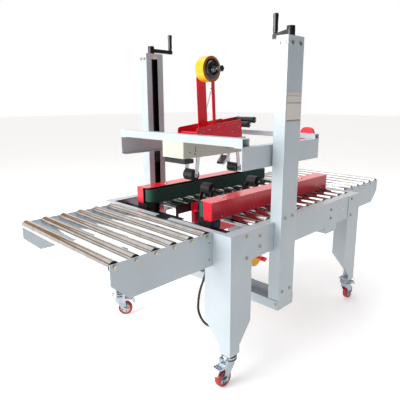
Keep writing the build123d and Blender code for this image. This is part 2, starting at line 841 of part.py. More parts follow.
# ---------- side belts ----------
def belt_loop(side, radius):
    """Outline round both pulleys, as the belt lies when its pulleys have this radius."""
    with BuildSketch(Plane.XY.offset(belt_bottom)) as outline:
        for x in (belt_front_x + pulley_radius + belt_thickness, belt_rear_x - pulley_radius - belt_thickness):
            with Locations((x, side * (belt_half_gap + belt_thickness + pulley_radius))):
                Circle(radius)
        make_hull()
    return outline.sketch


def side_belt(side):
    with BuildPart() as belt:
        extrude(belt_loop(side, pulley_radius + belt_thickness), amount=belt_height)
        extrude(belt_loop(side, pulley_radius), amount=belt_height, mode=Mode.SUBTRACT)
    return belt.part


cover_outer_y = belt_half_gap + cover_reach
cover_inner_y = belt_half_gap + cover_lap
cover_front_x = belt_front_x - cover_top_gap
cover_rear_x = belt_rear_x + cover_top_gap
end_wall_y = belt_half_gap + cover_wall


def belt_cover(side):
    with BuildPart() as cover:
        xs = (cover_front_x, cover_rear_x)
        zs = (carriage_top, cover_top)
        slab(xs, across(side, cover_outer_y - cover_sheet, cover_outer_y), (carriage_bottom, cover_top))
        slab(xs, across(side, cover_inner_y, cover_outer_y), (cover_top - cover_sheet, cover_top))
        slab((xs[0], xs[0] + cover_sheet), across(side, end_wall_y, cover_outer_y), zs)
        slab((xs[1] - cover_sheet, xs[1]), across(side, cover_inner_y, cover_outer_y), zs)
        posts = (carriage_top, cover_top - cover_sheet)
        for x in (front_rod_x, rear_rod_x):
            at = (x, side * (belt_half_gap + belt_thickness + pulley_radius))
            round_z(at, pivot_pin, posts)
    return cover.part


pulley_y = belt_half_gap + belt_thickness + pulley_radius
front_pulley_x = belt_front_x + pulley_radius + belt_thickness
rear_pulley_x = belt_rear_x - pulley_radius - belt_thickness


def belt_carriage(side):
    """The plate under a belt, with its two bushes on the rods and the nut on the width screw."""
    with BuildPart() as carriage:
        ys = across(side, pulley_y - pulley_radius, cover_outer_y - cover_sheet)
        slab((front_pulley_x, rear_pulley_x), ys, (carriage_bottom, carriage_top))
        post = across(side, pulley_y - bush_length / 2, pulley_y + bush_length / 2)
        for x in (front_rod_x, rear_rod_x, width_screw_x):
            slab((x - bush_half, x + bush_half), post, (rod_z - bush_half, carriage_bottom))
        for x, radius in ((front_rod_x, rod_radius), (rear_rod_x, rod_radius), (width_screw_x, screw_radius)):
            round_y((x, rod_z), radius + running_gap, post, Mode.SUBTRACT)
        round_z((rear_pulley_x, side * pulley_y), motor_shaft, (carriage_top, belt_bottom + belt_height))
        shaft_hole = (carriage_bottom, carriage_top)
        round_z((front_pulley_x, side * pulley_y), motor_shaft + seat_gap, shaft_hole, Mode.SUBTRACT)
    return carriage.part


def belt_drive(side):
    """The gearmotor with the front pulley on its shaft, and the rear pulley."""
    with BuildPart() as drive:
        xs = (cover_front_x, cover_front_x + motor_size)
        body = across(side, pulley_y - motor_shaft - sheet, cover_outer_y - cover_sheet)
        slab(xs, body, (carriage_bottom - motor_height, carriage_bottom))
        fillet(drive.edges().filter_by(Axis.Z), radius=sheet)
        round_z((front_pulley_x, side * pulley_y), motor_shaft, (carriage_bottom, belt_bottom))
        pulley = (belt_bottom, belt_bottom + belt_height)
        round_z((front_pulley_x, side * pulley_y), pulley_radius - seat_gap, pulley)
        with BuildSketch(Plane.XY.offset(belt_bottom)) as ring:
            with Locations((rear_pulley_x, side * pulley_y)):
                Circle(pulley_radius - seat_gap)
                Circle(motor_shaft + seat_gap, mode=Mode.SUBTRACT)
        extrude(ring.sketch, amount=belt_height)
    return drive.part


for name, side in sides.items():
    save(side_belt(side), f"{name}_side_belt")
    save(belt_cover(side), f"{name}_belt_cover")
    save(belt_carriage(side), f"{name}_belt_carriage")
    save(belt_drive(side), f"{name}_belt_drive")

with BuildPart() as width_guide_rods:
    for x in (front_rod_x, rear_rod_x):
        round_y((x, rod_z), rod_radius, (-panel_inner_y, panel_inner_y))
save(width_guide_rods.part, "width_guide_rods")

hand_wheel_y = panel_face_y + wheel_reach / 2
with BuildPart() as width_screw:
    round_y((width_screw_x, rod_z), screw_radius, (-panel_face_y, panel_face_y + wheel_reach))
    rim = (hand_wheel_y, hand_wheel_y + crank_arm_height)
    with BuildSketch(Plane.XZ.offset(-rim[0])) as ring:
        with Locations((width_screw_x, rod_z)):
            Circle(wheel_rim_radius)
            Circle(wheel_rim_radius - crank_arm_height, mode=Mode.SUBTRACT)
    extrude(ring.sketch, amount=rim[0] - rim[1])
    round_y((width_screw_x, rod_z), crank_hub_radius, (rim[0], panel_face_y + wheel_reach))
    for turn in range(3):
        with BuildSketch(Plane.XZ.offset(-rim[0])) as spoke:
            with Locations((width_screw_x, rod_z)):
                with PolarLocations(wheel_rim_radius / 2, 1, start_angle=90 + 120 * turn):
                    Rectangle(wheel_rim_radius - crank_arm_height / 2, crank_arm_height / 2)
        extrude(spoke.sketch, amount=rim[0] - rim[1])
save(width_screw.part, "width_screw")

# ---------- bed deck ----------
with BuildPart() as bed_deck:
    zs = (deck_top - sheet, deck_top)
    slab((-web_inner_x, deck_rear_x), (-panel_inner_y, near_deck_edge), zs)
    slab((-web_inner_x, deck_rear_x), (far_deck_edge, panel_inner_y), zs)
    bar = (cross_bar_top - cross_bar_height, cross_bar_top)
    for x in (cross_bar_front_x, cross_bar_rear_x):
        slab((x, x + cross_bar_width), (-panel_inner_y, panel_inner_y), bar)
    rail_end = cross_bar_rear_x + cross_bar_width
    rail_outline = [
        (cross_bar_front_x, cross_bar_top),
        (cross_bar_front_x + cross_bar_width, cross_bar_top),
        (cross_bar_front_x + cross_bar_width, rail_bottom),
        (cross_bar_rear_x, rail_bottom),
        (cross_bar_rear_x, cross_bar_top),
        (rail_end, cross_bar_top),
        (rail_end, deck_top),
        (bed_split_end, deck_top),
        (bed_split_end, table_height),
        (cross_bar_front_x, table_height),
    ]
    for side in (-1, 1):
        plate_y(rail_outline, across(side, bed_half_gap - sheet, bed_half_gap))
save(bed_deck.part, "bed_deck")

# ---------- control box ----------
box_outer_y = panel_inner_y - sheet_gap
with BuildPart() as control_box:
    ys = across(-1, box_outer_y - box_width, box_outer_y)
    slab((box_x, box_x + box_length), ys, (panel_bottom - box_height, panel_bottom))
    bottom_edges = control_box.faces().sort_by(Axis.Z)[0].edges().filter_by(Axis.Y)
    fillet(bottom_edges, radius=box_corner)
save(control_box.part, "control_box")

# ---------- motor lead ----------
# The slack loop lets the near belt unit move; both ends go into glands on the frame.
lead_route = [
    (-440.0, -232.0, deck_top - sheet - gland_length),
    (-440.0, -232.0, 492.0),
    (-441.0, -222.0, 424.0),
    (-443.0, -205.0, 364.0),
    (-445.0, -184.0, 312.0),
    (-447.0, -175.0, 262.0),
    (-450.0, -175.0, 209.0),
    (-454.0, -210.0, 174.0),
    (-459.0, -260.0, 174.0),
    (-464.0, -295.0, 209.0),
    (-468.0, -295.0, 264.0),
    (-468.0, -306.0, 316.0),
    (-464.0, -330.0, 362.0),
    (-454.0, -368.0, 392.0),
    (-440.0, -391.5, 428.0),
    (-440.0, -391.5, panel_bottom - gland_length),
]


def route_radii(points):
    """Arc radius at each inner corner: as large as its two runs allow."""
    radii = []
    for before, here, after in zip(points, points[1:], points[2:]):
        back = Vector(*here) - Vector(*before)
        ahead = Vector(*after) - Vector(*here)
        half_turn = radians(back.get_angle(ahead)) / 2
        radii.append(0.45 * min(back.length, ahead.length) / tan(half_turn))
    return radii


with BuildPart() as motor_lead:
    with BuildLine() as route:
        FilletPolyline(*lead_route, radius=route_radii(lead_route))
    with BuildSketch(Plane(origin=lead_route[0], z_dir=Vector(*lead_route[1]) - Vector(*lead_route[0]))):
        Circle(lead_radius)
    sweep()
print("lead radii", [round(r) for r in route_radii(lead_route)])
lead_length = route.wires()[0].length
print("lead length", round(lead_length), "volume ratio", motor_lead.part.volume / (pi * lead_radius**2 * lead_length))
save(motor_lead.part, "motor_lead")

# ---------- emergency stop ----------
with BuildPart() as emergency_stop:
    cap_low = panel_face_y + stop_travel + sheet_gap
    round_y((stop_x, rod_z), stop_cap_radius, (cap_low, cap_low + stop_cap_height))
    fillet(emergency_stop.faces().sort_by(Axis.Y)[-1].edges(), radius=stop_cap_height / 3)
    round_y((stop_x, rod_z), stop_stem_radius, (panel_inner_y - stop_cap_height, cap_low))
save(emergency_stop.part, "emergency_stop")

# ---------- casters ----------
trails = {
    "near_front": (-1, -1, 180.0),
    "far_front": (-1, 1, -45.0),
    "near_rear": (1, -1, 0.0),
    "far_rear": (1, 1, 180.0),
}
fork_top = leg_bottom
fork_inner = wheel_width / 2 + sheet_gap
axle_z = wheel_radius


def caster_plane(end, side, angle):
    """Local x points along the trail of the wheel, local y along its axle."""
    return Plane(origin=(end * foot_x, side * foot_y, 0), x_dir=(cos(radians(angle)), sin(radians(angle)), 0), z_dir=(0, 0, 1))


def caster_fork(end, side, angle):
    """The swivel head, the two cheeks, the axle, the brake pedal and the stem with its nut."""
    frame = caster_plane(end, side, angle)
    with BuildPart() as fork:
        head_low = fork_top - fork_head_height
        with BuildSketch(Plane.XY.offset(head_low)):
            Circle(fork_head_radius)
        extrude(amount=fork_head_height)
        shoulder = 2 * wheel_radius + 2 * sheet
        with BuildSketch(Plane.XY.offset(shoulder)):
            with Locations((caster_trail / 3, 0)):
                Rectangle(2 * fork_head_radius, 2 * (fork_inner + fork_sheet))
        extrude(amount=head_low - shoulder)
        for turn in (-1, 1):
            ys = across(turn, fork_inner, fork_inner + fork_sheet)
            cheek = [
                (caster_trail / 3 - fork_head_radius, shoulder),
                (caster_trail / 3 + fork_head_radius, shoulder),
                (caster_trail + stem_nut_radius, axle_z - wheel_bore),
                (caster_trail, axle_z - stem_nut_radius),
                (caster_trail - stem_nut_radius, axle_z - wheel_bore),
            ]
            plate_y(cheek, ys)
        round_y((caster_trail, axle_z), wheel_bore, (-fork_inner - fork_sheet - sheet, fork_inner + fork_sheet + sheet))
        pedal = [
            (caster_trail / 3 + fork_head_radius, shoulder),
            (caster_trail + wheel_radius, shoulder + 2 * sheet),
            (caster_trail + wheel_radius + 4 * sheet, shoulder - 4 * sheet),
            (caster_trail + wheel_radius + 5 * sheet, shoulder - 3 * sheet),
            (caster_trail + wheel_radius + sheet, shoulder + 4 * sheet),
            (caster_trail / 3 + fork_head_radius - sheet, shoulder + 4 * sheet),
        ]
        plate_y(pedal, (-fork_inner - fork_sheet, fork_inner + fork_sheet))
        with BuildSketch(Plane.XY.offset(fork_top)):
            Circle(stem_radius)
        nut_low = leg_bottom + foot_plate + sheet_gap
        extrude(amount=nut_low + stem_nut_height - fork_top)
        with BuildSketch(Plane.XY.offset(nut_low)):
            RegularPolygon(stem_nut_radius, 6)
        extrude(amount=stem_nut_height)
    return frame.location * fork.part


def caster_wheel(end, side, angle):
    frame = caster_plane(end, side, angle)
    with BuildPart() as wheel:
        with BuildSketch(Plane.XZ.offset(wheel_width / 2)):
            with Locations((caster_trail, axle_z)):
                Circle(wheel_radius)
                Circle(wheel_bore + running_gap, mode=Mode.SUBTRACT)
        extrude(amount=-wheel_width)
        fillet(wheel.edges().filter_by(GeomType.CIRCLE).sort_by(SortBy.RADIUS)[-2:], radius=2 * sheet)
    return frame.location * wheel.part


for name, placing in trails.items():
    save(caster_fork(*placing), f"{name}_fork")
    save(caster_wheel(*placing), f"{name}_wheel")


# ---------- bolts and roller axles ----------
def bolt_y(x, z, face_y, side):
    """A button head standing on a face that looks along Y."""
    head = across(side, face_y, face_y + bolt_height)
    socket = across(side, face_y + bolt_height - socket_depth, face_y + bolt_height)
    round_y((x, z), bolt_radius, head)
    round_y((x, z), socket_radius, socket, Mode.SUBTRACT)


with BuildPart() as frame_fasteners:
    leg_bolt_x = end_face_x - leg_side_width * 3 / 4
    for side in (-1, 1):
        for end in (-1, 1):
            for z in (table_height - bolt_radius * 3, panel_bottom + bolt_radius * 2):
                bolt_y(end * leg_bolt_x, z, leg_face_y, side)
        for x in (cross_bar_front_x, cross_bar_rear_x):
            for z in (cross_bar_top - bolt_radius * 3 / 2, cross_bar_top + bolt_radius * 5):
                bolt_y(x + cross_bar_width / 2, z, panel_face_y, side)
        for z in (column_top - bolt_radius * 4, lower_bearing_z + bearing_height / 2, channel_tab_top - bolt_radius * 2):
            for x in (column_x - column_width / 4, column_x + column_width / 4):
                bolt_y(x, z, column_face_y, side)
        with BuildSketch(Plane.YZ.offset(channel_low)) as head:
            with Locations((side * (column_face_y - 2 * bolt_radius), column_foot + channel_height / 2)):
                Circle(bolt_radius)
        extrude(head.sketch, amount=-bolt_height)
        with BuildSketch(Plane.YZ.offset(column_x - column_width / 2)) as heads:
            for y in (screw_y - column_depth / 4, screw_y + column_depth / 4):
                with Locations((side * y, column_top - bolt_radius * 4)):
                    Circle(bolt_radius)
        extrude(heads.sketch, amount=-bolt_height)
    for x in table_rollers_x:
        axle = table_face_y + bolt_height
        round_y((-x, roller_axis_z), axle_radius, (-axle, axle))
        for side in (-1, 1):
            round_y((-x, roller_axis_z), bolt_radius, across(side, table_face_y, axle))
    gland = lead_route[0]
    round_z(gland[:2], gland_radius, (gland[2], deck_top - sheet))
    gland = lead_route[-1]
    round_z(gland[:2], gland_radius, (gland[2], panel_bottom))
save(frame_fasteners.part, "frame_fasteners")

with BuildPart() as label_plate:
    slab(label_x, (-column_face_y - label_thickness, -column_face_y), label_z)
    fillet(label_plate.edges().filter_by(Axis.Y), radius=bolt_radius / 2)
save(label_plate.part, "label_plate")
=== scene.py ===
import json
import math
import random

import bmesh
import bpy
from mathutils import Matrix, Vector


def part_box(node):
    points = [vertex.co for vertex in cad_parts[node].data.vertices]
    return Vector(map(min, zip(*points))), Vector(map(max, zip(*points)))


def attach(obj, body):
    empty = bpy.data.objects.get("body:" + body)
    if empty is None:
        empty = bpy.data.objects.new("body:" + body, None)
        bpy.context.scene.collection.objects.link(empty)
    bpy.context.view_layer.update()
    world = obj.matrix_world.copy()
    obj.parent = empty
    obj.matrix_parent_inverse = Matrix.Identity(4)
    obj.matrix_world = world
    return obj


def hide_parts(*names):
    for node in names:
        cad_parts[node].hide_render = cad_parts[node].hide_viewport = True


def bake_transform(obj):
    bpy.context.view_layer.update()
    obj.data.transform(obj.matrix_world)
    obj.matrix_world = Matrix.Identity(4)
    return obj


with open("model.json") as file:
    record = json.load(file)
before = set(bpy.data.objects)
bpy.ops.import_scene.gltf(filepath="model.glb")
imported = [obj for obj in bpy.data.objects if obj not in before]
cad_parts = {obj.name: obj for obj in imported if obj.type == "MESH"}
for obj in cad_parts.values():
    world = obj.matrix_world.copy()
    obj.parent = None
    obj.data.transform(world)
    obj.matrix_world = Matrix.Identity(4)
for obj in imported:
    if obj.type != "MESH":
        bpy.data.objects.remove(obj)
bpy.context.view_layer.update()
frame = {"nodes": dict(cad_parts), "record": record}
nodes = frame["nodes"]
mm = 0.001  # shapes are drawn in millimetres, and scaled once when a piece is made
sides = {"near": -1, "far": 1}
random.seed(7)

# camera, standing off the entry corner at eye height
camera = {
    "place": (-1.556, -1.317, 1.072),
    "yaw": 45.47,  # degrees, from +Y towards +X
    "pitch": -12.86,
    "roll": -0.14,
    "lens": 37.2,
    "sensor": 36.0,
    "shiftX": -0.017,
    "shiftY": -0.011,
}
cameraData = bpy.data.cameras.new("camera")
cameraData.lens = camera["lens"]
cameraData.sensor_width = camera["sensor"]
cameraData.shift_x = camera["shiftX"]
cameraData.shift_y = camera["shiftY"]
cameraObject = bpy.data.objects.new("camera", cameraData)
cameraObject.location = camera["place"]
cameraObject.rotation_euler = (
    Matrix.Rotation(math.radians(-camera["yaw"]), 4, "Z")
    @ Matrix.Rotation(math.radians(90 + camera["pitch"]), 4, "X")
    @ Matrix.Rotation(math.radians(camera["roll"]), 4, "Z")
).to_euler()
bpy.context.scene.collection.objects.link(cameraObject)
bpy.context.scene.camera = cameraObject
print("camera ready")


def hexColor(text, alpha=1.0):
    channels = [int(text[i:i + 2], 16) / 255 for i in (1, 3, 5)]
    linear = [c / 12.92 if c <= 0.04045 else ((c + 0.055) / 1.055) ** 2.4 for c in channels]
    return (*linear, alpha)


def addNode(tree, kind, links=None, **settings):
    node = tree.nodes.new(kind)
    for name, value in settings.items():
        setattr(node, name, value)
    for name, value in (links or {}).items():
        socket = node.inputs[name]
        if isinstance(value, bpy.types.NodeSocket):
            tree.links.new(value, socket)
        else:
            socket.default_value = value
    return node


def newMaterial(name):
    material = bpy.data.materials.new(name)
    material.use_nodes = True
    material.node_tree.nodes.clear()
    return material, material.node_tree


def closeMaterial(tree, shader):
    addNode(tree, "ShaderNodeOutputMaterial", {"Surface": shader.outputs["BSDF"]})


def perMm(size):
    return 1000.0 / size  # pattern scale for one repeat every so many millimetres


def setRamp(node, stops):
    ramp = node.color_ramp
    while len(ramp.elements) < len(stops):
        ramp.elements.new(0.5)
    for element, (position, color) in zip(ramp.elements, stops):
        element.position = position
        element.color = hexColor(color)


def coatMaterial(name, color, shade, roughness, coat, peelSize=2.2, peelDepth=0.03, edge=1.2):
    # polyester powder coat, sprayed and baked: fine orange peel, a soft edge where the sheet is bent,
    # and faint handling marks in the gloss
    material, tree = newMaterial(name)
    place = addNode(tree, "ShaderNodeTexCoord").outputs["Object"]
    cloud = addNode(tree, "ShaderNodeTexNoise", {"Vector": place, "Scale": perMm(180.0), "Detail": 3.0})
    tint = addNode(tree, "ShaderNodeValToRGB", {"Fac": cloud.outputs["Fac"]})
    setRamp(tint, [(0.3, color), (0.7, shade)])
    wipe = addNode(tree, "ShaderNodeMapping", {"Vector": place, "Scale": (1.0, 1.0, 0.12)})
    marks = addNode(tree, "ShaderNodeTexNoise", {
        "Vector": wipe.outputs["Vector"], "Scale": perMm(34.0), "Detail": 5.0})
    rough = addNode(tree, "ShaderNodeMapRange", {
        "Value": marks.outputs["Fac"], "From Min": 0.3, "From Max": 0.75,
        "To Min": roughness - 0.05, "To Max": roughness + 0.08})
    peel = addNode(tree, "ShaderNodeTexNoise", {"Vector": place, "Scale": perMm(peelSize), "Detail": 2.0})
    soft = addNode(tree, "ShaderNodeBevel", {"Radius": edge * mm}, samples=4)
    bump = addNode(tree, "ShaderNodeBump", {
        "Height": peel.outputs["Fac"], "Strength": 0.3, "Distance": peelDepth * mm,
        "Normal": soft.outputs["Normal"]})
    shader = addNode(tree, "ShaderNodeBsdfPrincipled", {
        "Base Color": tint.outputs["Color"], "Roughness": rough.outputs["Result"],
        "Normal": bump.outputs["Normal"], "IOR": 1.5, "Coat Weight": coat, "Coat Roughness": 0.1})
    closeMaterial(tree, shader)
    return material


def metalMaterial(name, color, dull, roughness, grain, stretch, depth):
    # plated, ground or turned steel: the grain follows the tool, and the plating clouds a little
    material, tree = newMaterial(name)
    place = addNode(tree, "ShaderNodeTexCoord").outputs["Object"]
    along = addNode(tree, "ShaderNodeMapping", {"Vector": place, "Scale": stretch})
    lines = addNode(tree, "ShaderNodeTexNoise", {
        "Vector": along.outputs["Vector"], "Scale": perMm(grain), "Detail": 3.0})
    stain = addNode(tree, "ShaderNodeTexNoise", {"Vector": place, "Scale": perMm(45.0), "Detail": 5.0})
    tint = addNode(tree, "ShaderNodeValToRGB", {"Fac": stain.outputs["Fac"]})
    setRamp(tint, [(0.35, color), (0.72, dull)])
    rough = addNode(tree, "ShaderNodeMapRange", {
        "Value": lines.outputs["Fac"], "To Min": roughness * 0.6, "To Max": roughness * 1.4})
    bump = addNode(tree, "ShaderNodeBump", {
        "Height": lines.outputs["Fac"], "Strength": 0.3, "Distance": depth * mm})
    shader = addNode(tree, "ShaderNodeBsdfPrincipled", {
        "Base Color": tint.outputs["Color"], "Metallic": 1.0, "Roughness": rough.outputs["Result"],
        "Normal": bump.outputs["Normal"]})
    closeMaterial(tree, shader)
    return material


def plasticMaterial(name, color, shade, roughness, grain, depth, ior=1.49, coat=0.0):
    # moulded, cast or extruded polymer: a faint grain from the tool, slightly uneven in shade
    material, tree = newMaterial(name)
    place = addNode(tree, "ShaderNodeTexCoord").outputs["Object"]
    pits = addNode(tree, "ShaderNodeTexNoise", {"Vector": place, "Scale": perMm(grain), "Detail": 4.0})
    cloud = addNode(tree, "ShaderNodeTexNoise", {"Vector": place, "Scale": perMm(22.0), "Detail": 3.0})
    tint = addNode(tree, "ShaderNodeValToRGB", {"Fac": cloud.outputs["Fac"]})
    setRamp(tint, [(0.3, color), (0.75, shade)])
    rough = addNode(tree, "ShaderNodeMapRange", {
        "Value": pits.outputs["Fac"], "To Min": roughness - 0.06, "To Max": roughness + 0.08})
    bump = addNode(tree, "ShaderNodeBump", {
        "Height": pits.outputs["Fac"], "Strength": 0.3, "Distance": depth * mm})
    shader = addNode(tree, "ShaderNodeBsdfPrincipled", {
        "Base Color": tint.outputs["Color"], "Roughness": rough.outputs["Result"],
        "Normal": bump.outputs["Normal"], "IOR": ior, "Coat Weight": coat})
    closeMaterial(tree, shader)
    return material


def bandMaterial(name, stops, coordinate, period, origin, roughness, depth, bumpPeriod):
    # printed or moulded bands that repeat along one axis
    material, tree = newMaterial(name)
    place = addNode(tree, "ShaderNodeTexCoord").outputs["Object"]
    axes = addNode(tree, "ShaderNodeSeparateXYZ", {"Vector": place})
    offset = addNode(tree, "ShaderNodeMath", {
        0: axes.outputs[coordinate], 1: origin}, operation="SUBTRACT")
    turn = addNode(tree, "ShaderNodeMath", {0: offset.outputs[0], 1: period * mm}, operation="DIVIDE")
    part = addNode(tree, "ShaderNodeMath", {0: turn.outputs[0]}, operation="FRACT")
    tint = addNode(tree, "ShaderNodeValToRGB", {"Fac": part.outputs[0]})
    setRamp(tint, stops)
    cloud = addNode(tree, "ShaderNodeTexNoise", {"Vector": place, "Scale": perMm(14.0), "Detail": 3.0})
    rough = addNode(tree, "ShaderNodeMapRange", {
        "Value": cloud.outputs["Fac"], "To Min": roughness - 0.06, "To Max": roughness + 0.08})
    wave = addNode(tree, "ShaderNodeMath", {
        0: offset.outputs[0], 1: 2 * math.pi / (bumpPeriod * mm)}, operation="MULTIPLY")
    rib = addNode(tree, "ShaderNodeMath", {0: wave.outputs[0]}, operation="SINE")
    bump = addNode(tree, "ShaderNodeBump", {
        "Height": rib.outputs[0], "Strength": 0.6, "Distance": depth * mm})
    shader = addNode(tree, "ShaderNodeBsdfPrincipled", {
        "Base Color": tint.outputs["Color"], "Roughness": rough.outputs["Result"],
        "Normal": bump.outputs["Normal"]})
    closeMaterial(tree, shader)
    return material


evenly = (1.0, 1.0, 1.0)  # grain with no direction
greyCoat = coatMaterial("greyPowderCoatSteel", "#bec8ce", "#b6c1c8", 0.33, 0.3)
housingCoat = coatMaterial("paleGreenGreyCoatSteel", "#c9cdbf", "#c0c5b6", 0.4, 0.2)
blackCoat = coatMaterial("blackPowderCoatSteel", "#0f0f12", "#0b0b0d", 0.42, 0.1)
redCoat = coatMaterial("redPowderCoatSteel", "#f01d37", "#e41a32", 0.34, 0.15)
redGloss = coatMaterial("redStovedEnamelCover", "#ee1c35", "#e31831", 0.24, 0.35, 3.4, 0.05, 0.6)
rollerTube = metalMaterial("zincPlatedRollerTube", "#cfd0d1", "#bdb9b2", 0.1, 1.2, (1.0, 0.03, 1.0), 0.006)
groundSteel = metalMaterial("groundSteel", "#c3c5c8", "#a9aaad", 0.2, 0.6, (1.0, 0.25, 1.0), 0.01)
zincSteel = metalMaterial("blueZincPlatedPressing", "#b9c4cc", "#98a2ab", 0.24, 0.9, evenly, 0.02)
zincBolt = metalMaterial("yellowZincPlatedBolt", "#c4bda6", "#a89d80", 0.3, 1.0, evenly, 0.02)
ironHub = metalMaterial("pressedWheelCentre", "#c2c5c9", "#9b9da1", 0.3, 1.0, evenly, 0.02)
pressRubber = plasticMaterial("blackRubberRoller", "#141417", "#1b1b1e", 0.5, 1.0, 0.06, 1.52)
tapeFilm = plasticMaterial("yellowTapeFilm", "#f3bd12", "#e8ad0c", 0.3, 0.5, 0.02, 1.48, 0.3)
tapeEdge = plasticMaterial("amberTapeEdge", "#b9750f", "#9c5d0c", 0.45, 0.35, 0.06, 1.48)
coreCard = plasticMaterial("spiralWoundCardCore", "#c9b79a", "#b7a384", 0.8, 0.7, 0.1, 1.45)
blackAbs = plasticMaterial("blackMouldedAbs", "#0e0e11", "#151518", 0.32, 0.9, 0.02, 1.5, 0.25)
blackPhenolic = plasticMaterial("blackPhenolicGrip", "#0c0c0f", "#131317", 0.22, 1.4, 0.01, 1.55, 0.6)
creamNylon = plasticMaterial("creamCastNylon", "#e6e0cf", "#dcd5c2", 0.5, 0.9, 0.03, 1.53)
cableSheath = plasticMaterial("blackPvcCableSheath", "#121214", "#18181a", 0.4, 0.8, 0.02, 1.53)
redUrethane = plasticMaterial("redCastUrethaneTread", "#b0161f", "#a1121b", 0.35, 1.2, 0.04, 1.5, 0.2)
stopRed = plasticMaterial("redMouldedButton", "#c4161c", "#b81218", 0.25, 1.2, 0.01, 1.5, 0.5)
bluePlate = plasticMaterial("bluePrintedRatingPlate", "#1f2f93", "#2a3ca6", 0.35, 0.8, 0.01, 1.49, 0.3)
# black that paints shade: the dark seen through the column slots, inside the housing slot and in the wheel
# dimples
shadeBlack = plasticMaterial("paintedShadeBlack", "#0a0a0c", "#101013", 0.7, 0.8, 0.05)
beltRubber = bandMaterial(
    "greenRoughTopBelting", [(0.0, "#12352f"), (0.45, "#25594f"), (0.55, "#25594f"), (1.0, "#12352f")],
    "X", 4.0, 0.0, 0.62, 0.35, 4.0)
labelBands = [
    (0.0, "#d3cec6"), (0.07, "#6a6a68"), (0.09, "#d9d5ce"), (0.62, "#d9d5ce"), (0.64, "#8b8984"),
    (0.68, "#d3cec6"), (0.86, "#d9d5ce"), (0.88, "#97958f"), (0.9, "#d3cec6"),
]
labelFilm = bandMaterial("paleLabelFilm", labelBands, "Z", 110.0, 0.994, 0.4, 0.002, 18.0)

slotMaterials = {
    "grey_paint": greyCoat, "black_paint": blackCoat, "red_paint": redCoat, "roller_tube": rollerTube,
    "bright_steel": groundSteel, "bolt_steel": zincBolt, "belt_rubber": beltRubber,
    "press_rubber": pressRubber, "tape": tapeFilm, "black_plastic": blackAbs, "cream_plastic": creamNylon,
    "cable_sheath": cableSheath, "wheel_rubber": redUrethane, "stop_red": stopRed,
}
ownMaterials = {"upper_cartridge_housing": housingCoat, "label_plate": labelFilm}
ownMaterials.update({name: zincSteel for name in nodes if name.endswith("_fork")})
slotOf = {entry["node"]: entry["material_slot"] for entry in frame["record"]["subparts"]}
for name, node in nodes.items():
    node.data.materials.clear()
    node.data.materials.append(ownMaterials.get(name, slotMaterials[slotOf[name]]))
print("materials ready")


def boxOf(node):
    return [[value / mm for value in corner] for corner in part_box(node)]


def addBox(shape, low, high, tag=0):
    corners = [(x, y, z) for x in (low[0], high[0]) for y in (low[1], high[1]) for z in (low[2], high[2])]
    verts = [shape.verts.new(corner) for corner in corners]
    for ring in ((0, 1, 3, 2), (4, 6, 7, 5), (0, 4, 5, 1), (2, 3, 7, 6), (0, 2, 6, 4), (1, 5, 7, 3)):
        shape.faces.new([verts[i] for i in ring]).material_index = tag


def addLathe(shape, profile, centre, direction, tag=0, steps=40):
    # profile: pairs of distance along the axis and radius, from one end to the other
    turn = Vector((0, 0, 1)).rotation_difference(Vector(direction)).to_matrix().to_4x4()
    place = Matrix.Translation(centre) @ turn
    rings = []
    for along, radius in profile:
        if radius == 0:
            rings.append([shape.verts.new(place @ Vector((0, 0, along)))])
            continue
        ring = ringOf((0, 0), radius, steps)
        rings.append([shape.verts.new(place @ Vector((x, y, along))) for x, y in ring])
    for before, after in zip(rings, rings[1:]):
        for i in range(steps):
            j = (i + 1) % steps
            if len(before) == 1:
                face = (before[0], after[j], after[i])
            elif len(after) == 1:
                face = (before[i], before[j], after[0])
            else:
                face = (before[i], before[j], after[j], after[i])
            shape.faces.new(face).material_index = tag


def addPlate(shape, outline, holes, thickness, place, tag=0):
    # a flat plate with holes: the outline is drawn in XY and pushed along Z, then placed. It is filled in
    # metres, the size it ends at, because the fill's own tolerances don't scale
    plate = bmesh.new()
    edges = []
    for loop in [outline] + holes:
        verts = [plate.verts.new((x * mm, y * mm, 0)) for x, y in loop]
        edges += [plate.edges.new((verts[i], verts[(i + 1) % len(verts)])) for i in range(len(verts))]
    bmesh.ops.triangle_fill(plate, use_beauty=True, edges=edges)
    made = bmesh.ops.extrude_face_region(plate, geom=plate.faces[:])
    raised = [item for item in made["geom"] if isinstance(item, bmesh.types.BMVert)]
    bmesh.ops.translate(plate, vec=(0, 0, thickness * mm), verts=raised)
    bmesh.ops.recalc_face_normals(plate, faces=plate.faces[:])
    verts = {v: shape.verts.new(place @ (v.co / mm)) for v in plate.verts}
    for face in plate.faces:
        shape.faces.new([verts[v] for v in face.verts]).material_index = tag
    plate.free()


def facingY(y):
    # drawings in X and Z, standing at y, with thickness running to +Y
    return Matrix(((1, 0, 0, 0), (0, 0, 1, y), (0, 1, 0, 0), (0, 0, 0, 1)))


def roundCorners(points, radius, steps=5):
    rounded = []
    for i, point in enumerate(points):
        here = Vector(point)
        back = (Vector(points[i - 1]) - here).normalized()
        ahead = (Vector(points[(i + 1) % len(points)]) - here).normalized()
        first, last = here + back * radius, here + ahead * radius
        for k in range(steps + 1):
            t = k / steps
            rounded.append(tuple(first * (1 - t) ** 2 + here * 2 * t * (1 - t) + last * t ** 2))
    return rounded


def ringOf(centre, radius, steps=24):
    angles = [2 * math.pi * i / steps for i in range(steps)]
    return [(centre[0] + radius * math.cos(a), centre[1] + radius * math.sin(a)) for a in angles]


def roundEdges(piece, width, segments=3, angle=40):
    rounding = piece.modifiers.new("edges", "BEVEL")
    rounding.width = width * mm
    rounding.segments = segments
    rounding.limit_method = "ANGLE"
    rounding.angle_limit = math.radians(angle)
    rounding.harden_normals = True


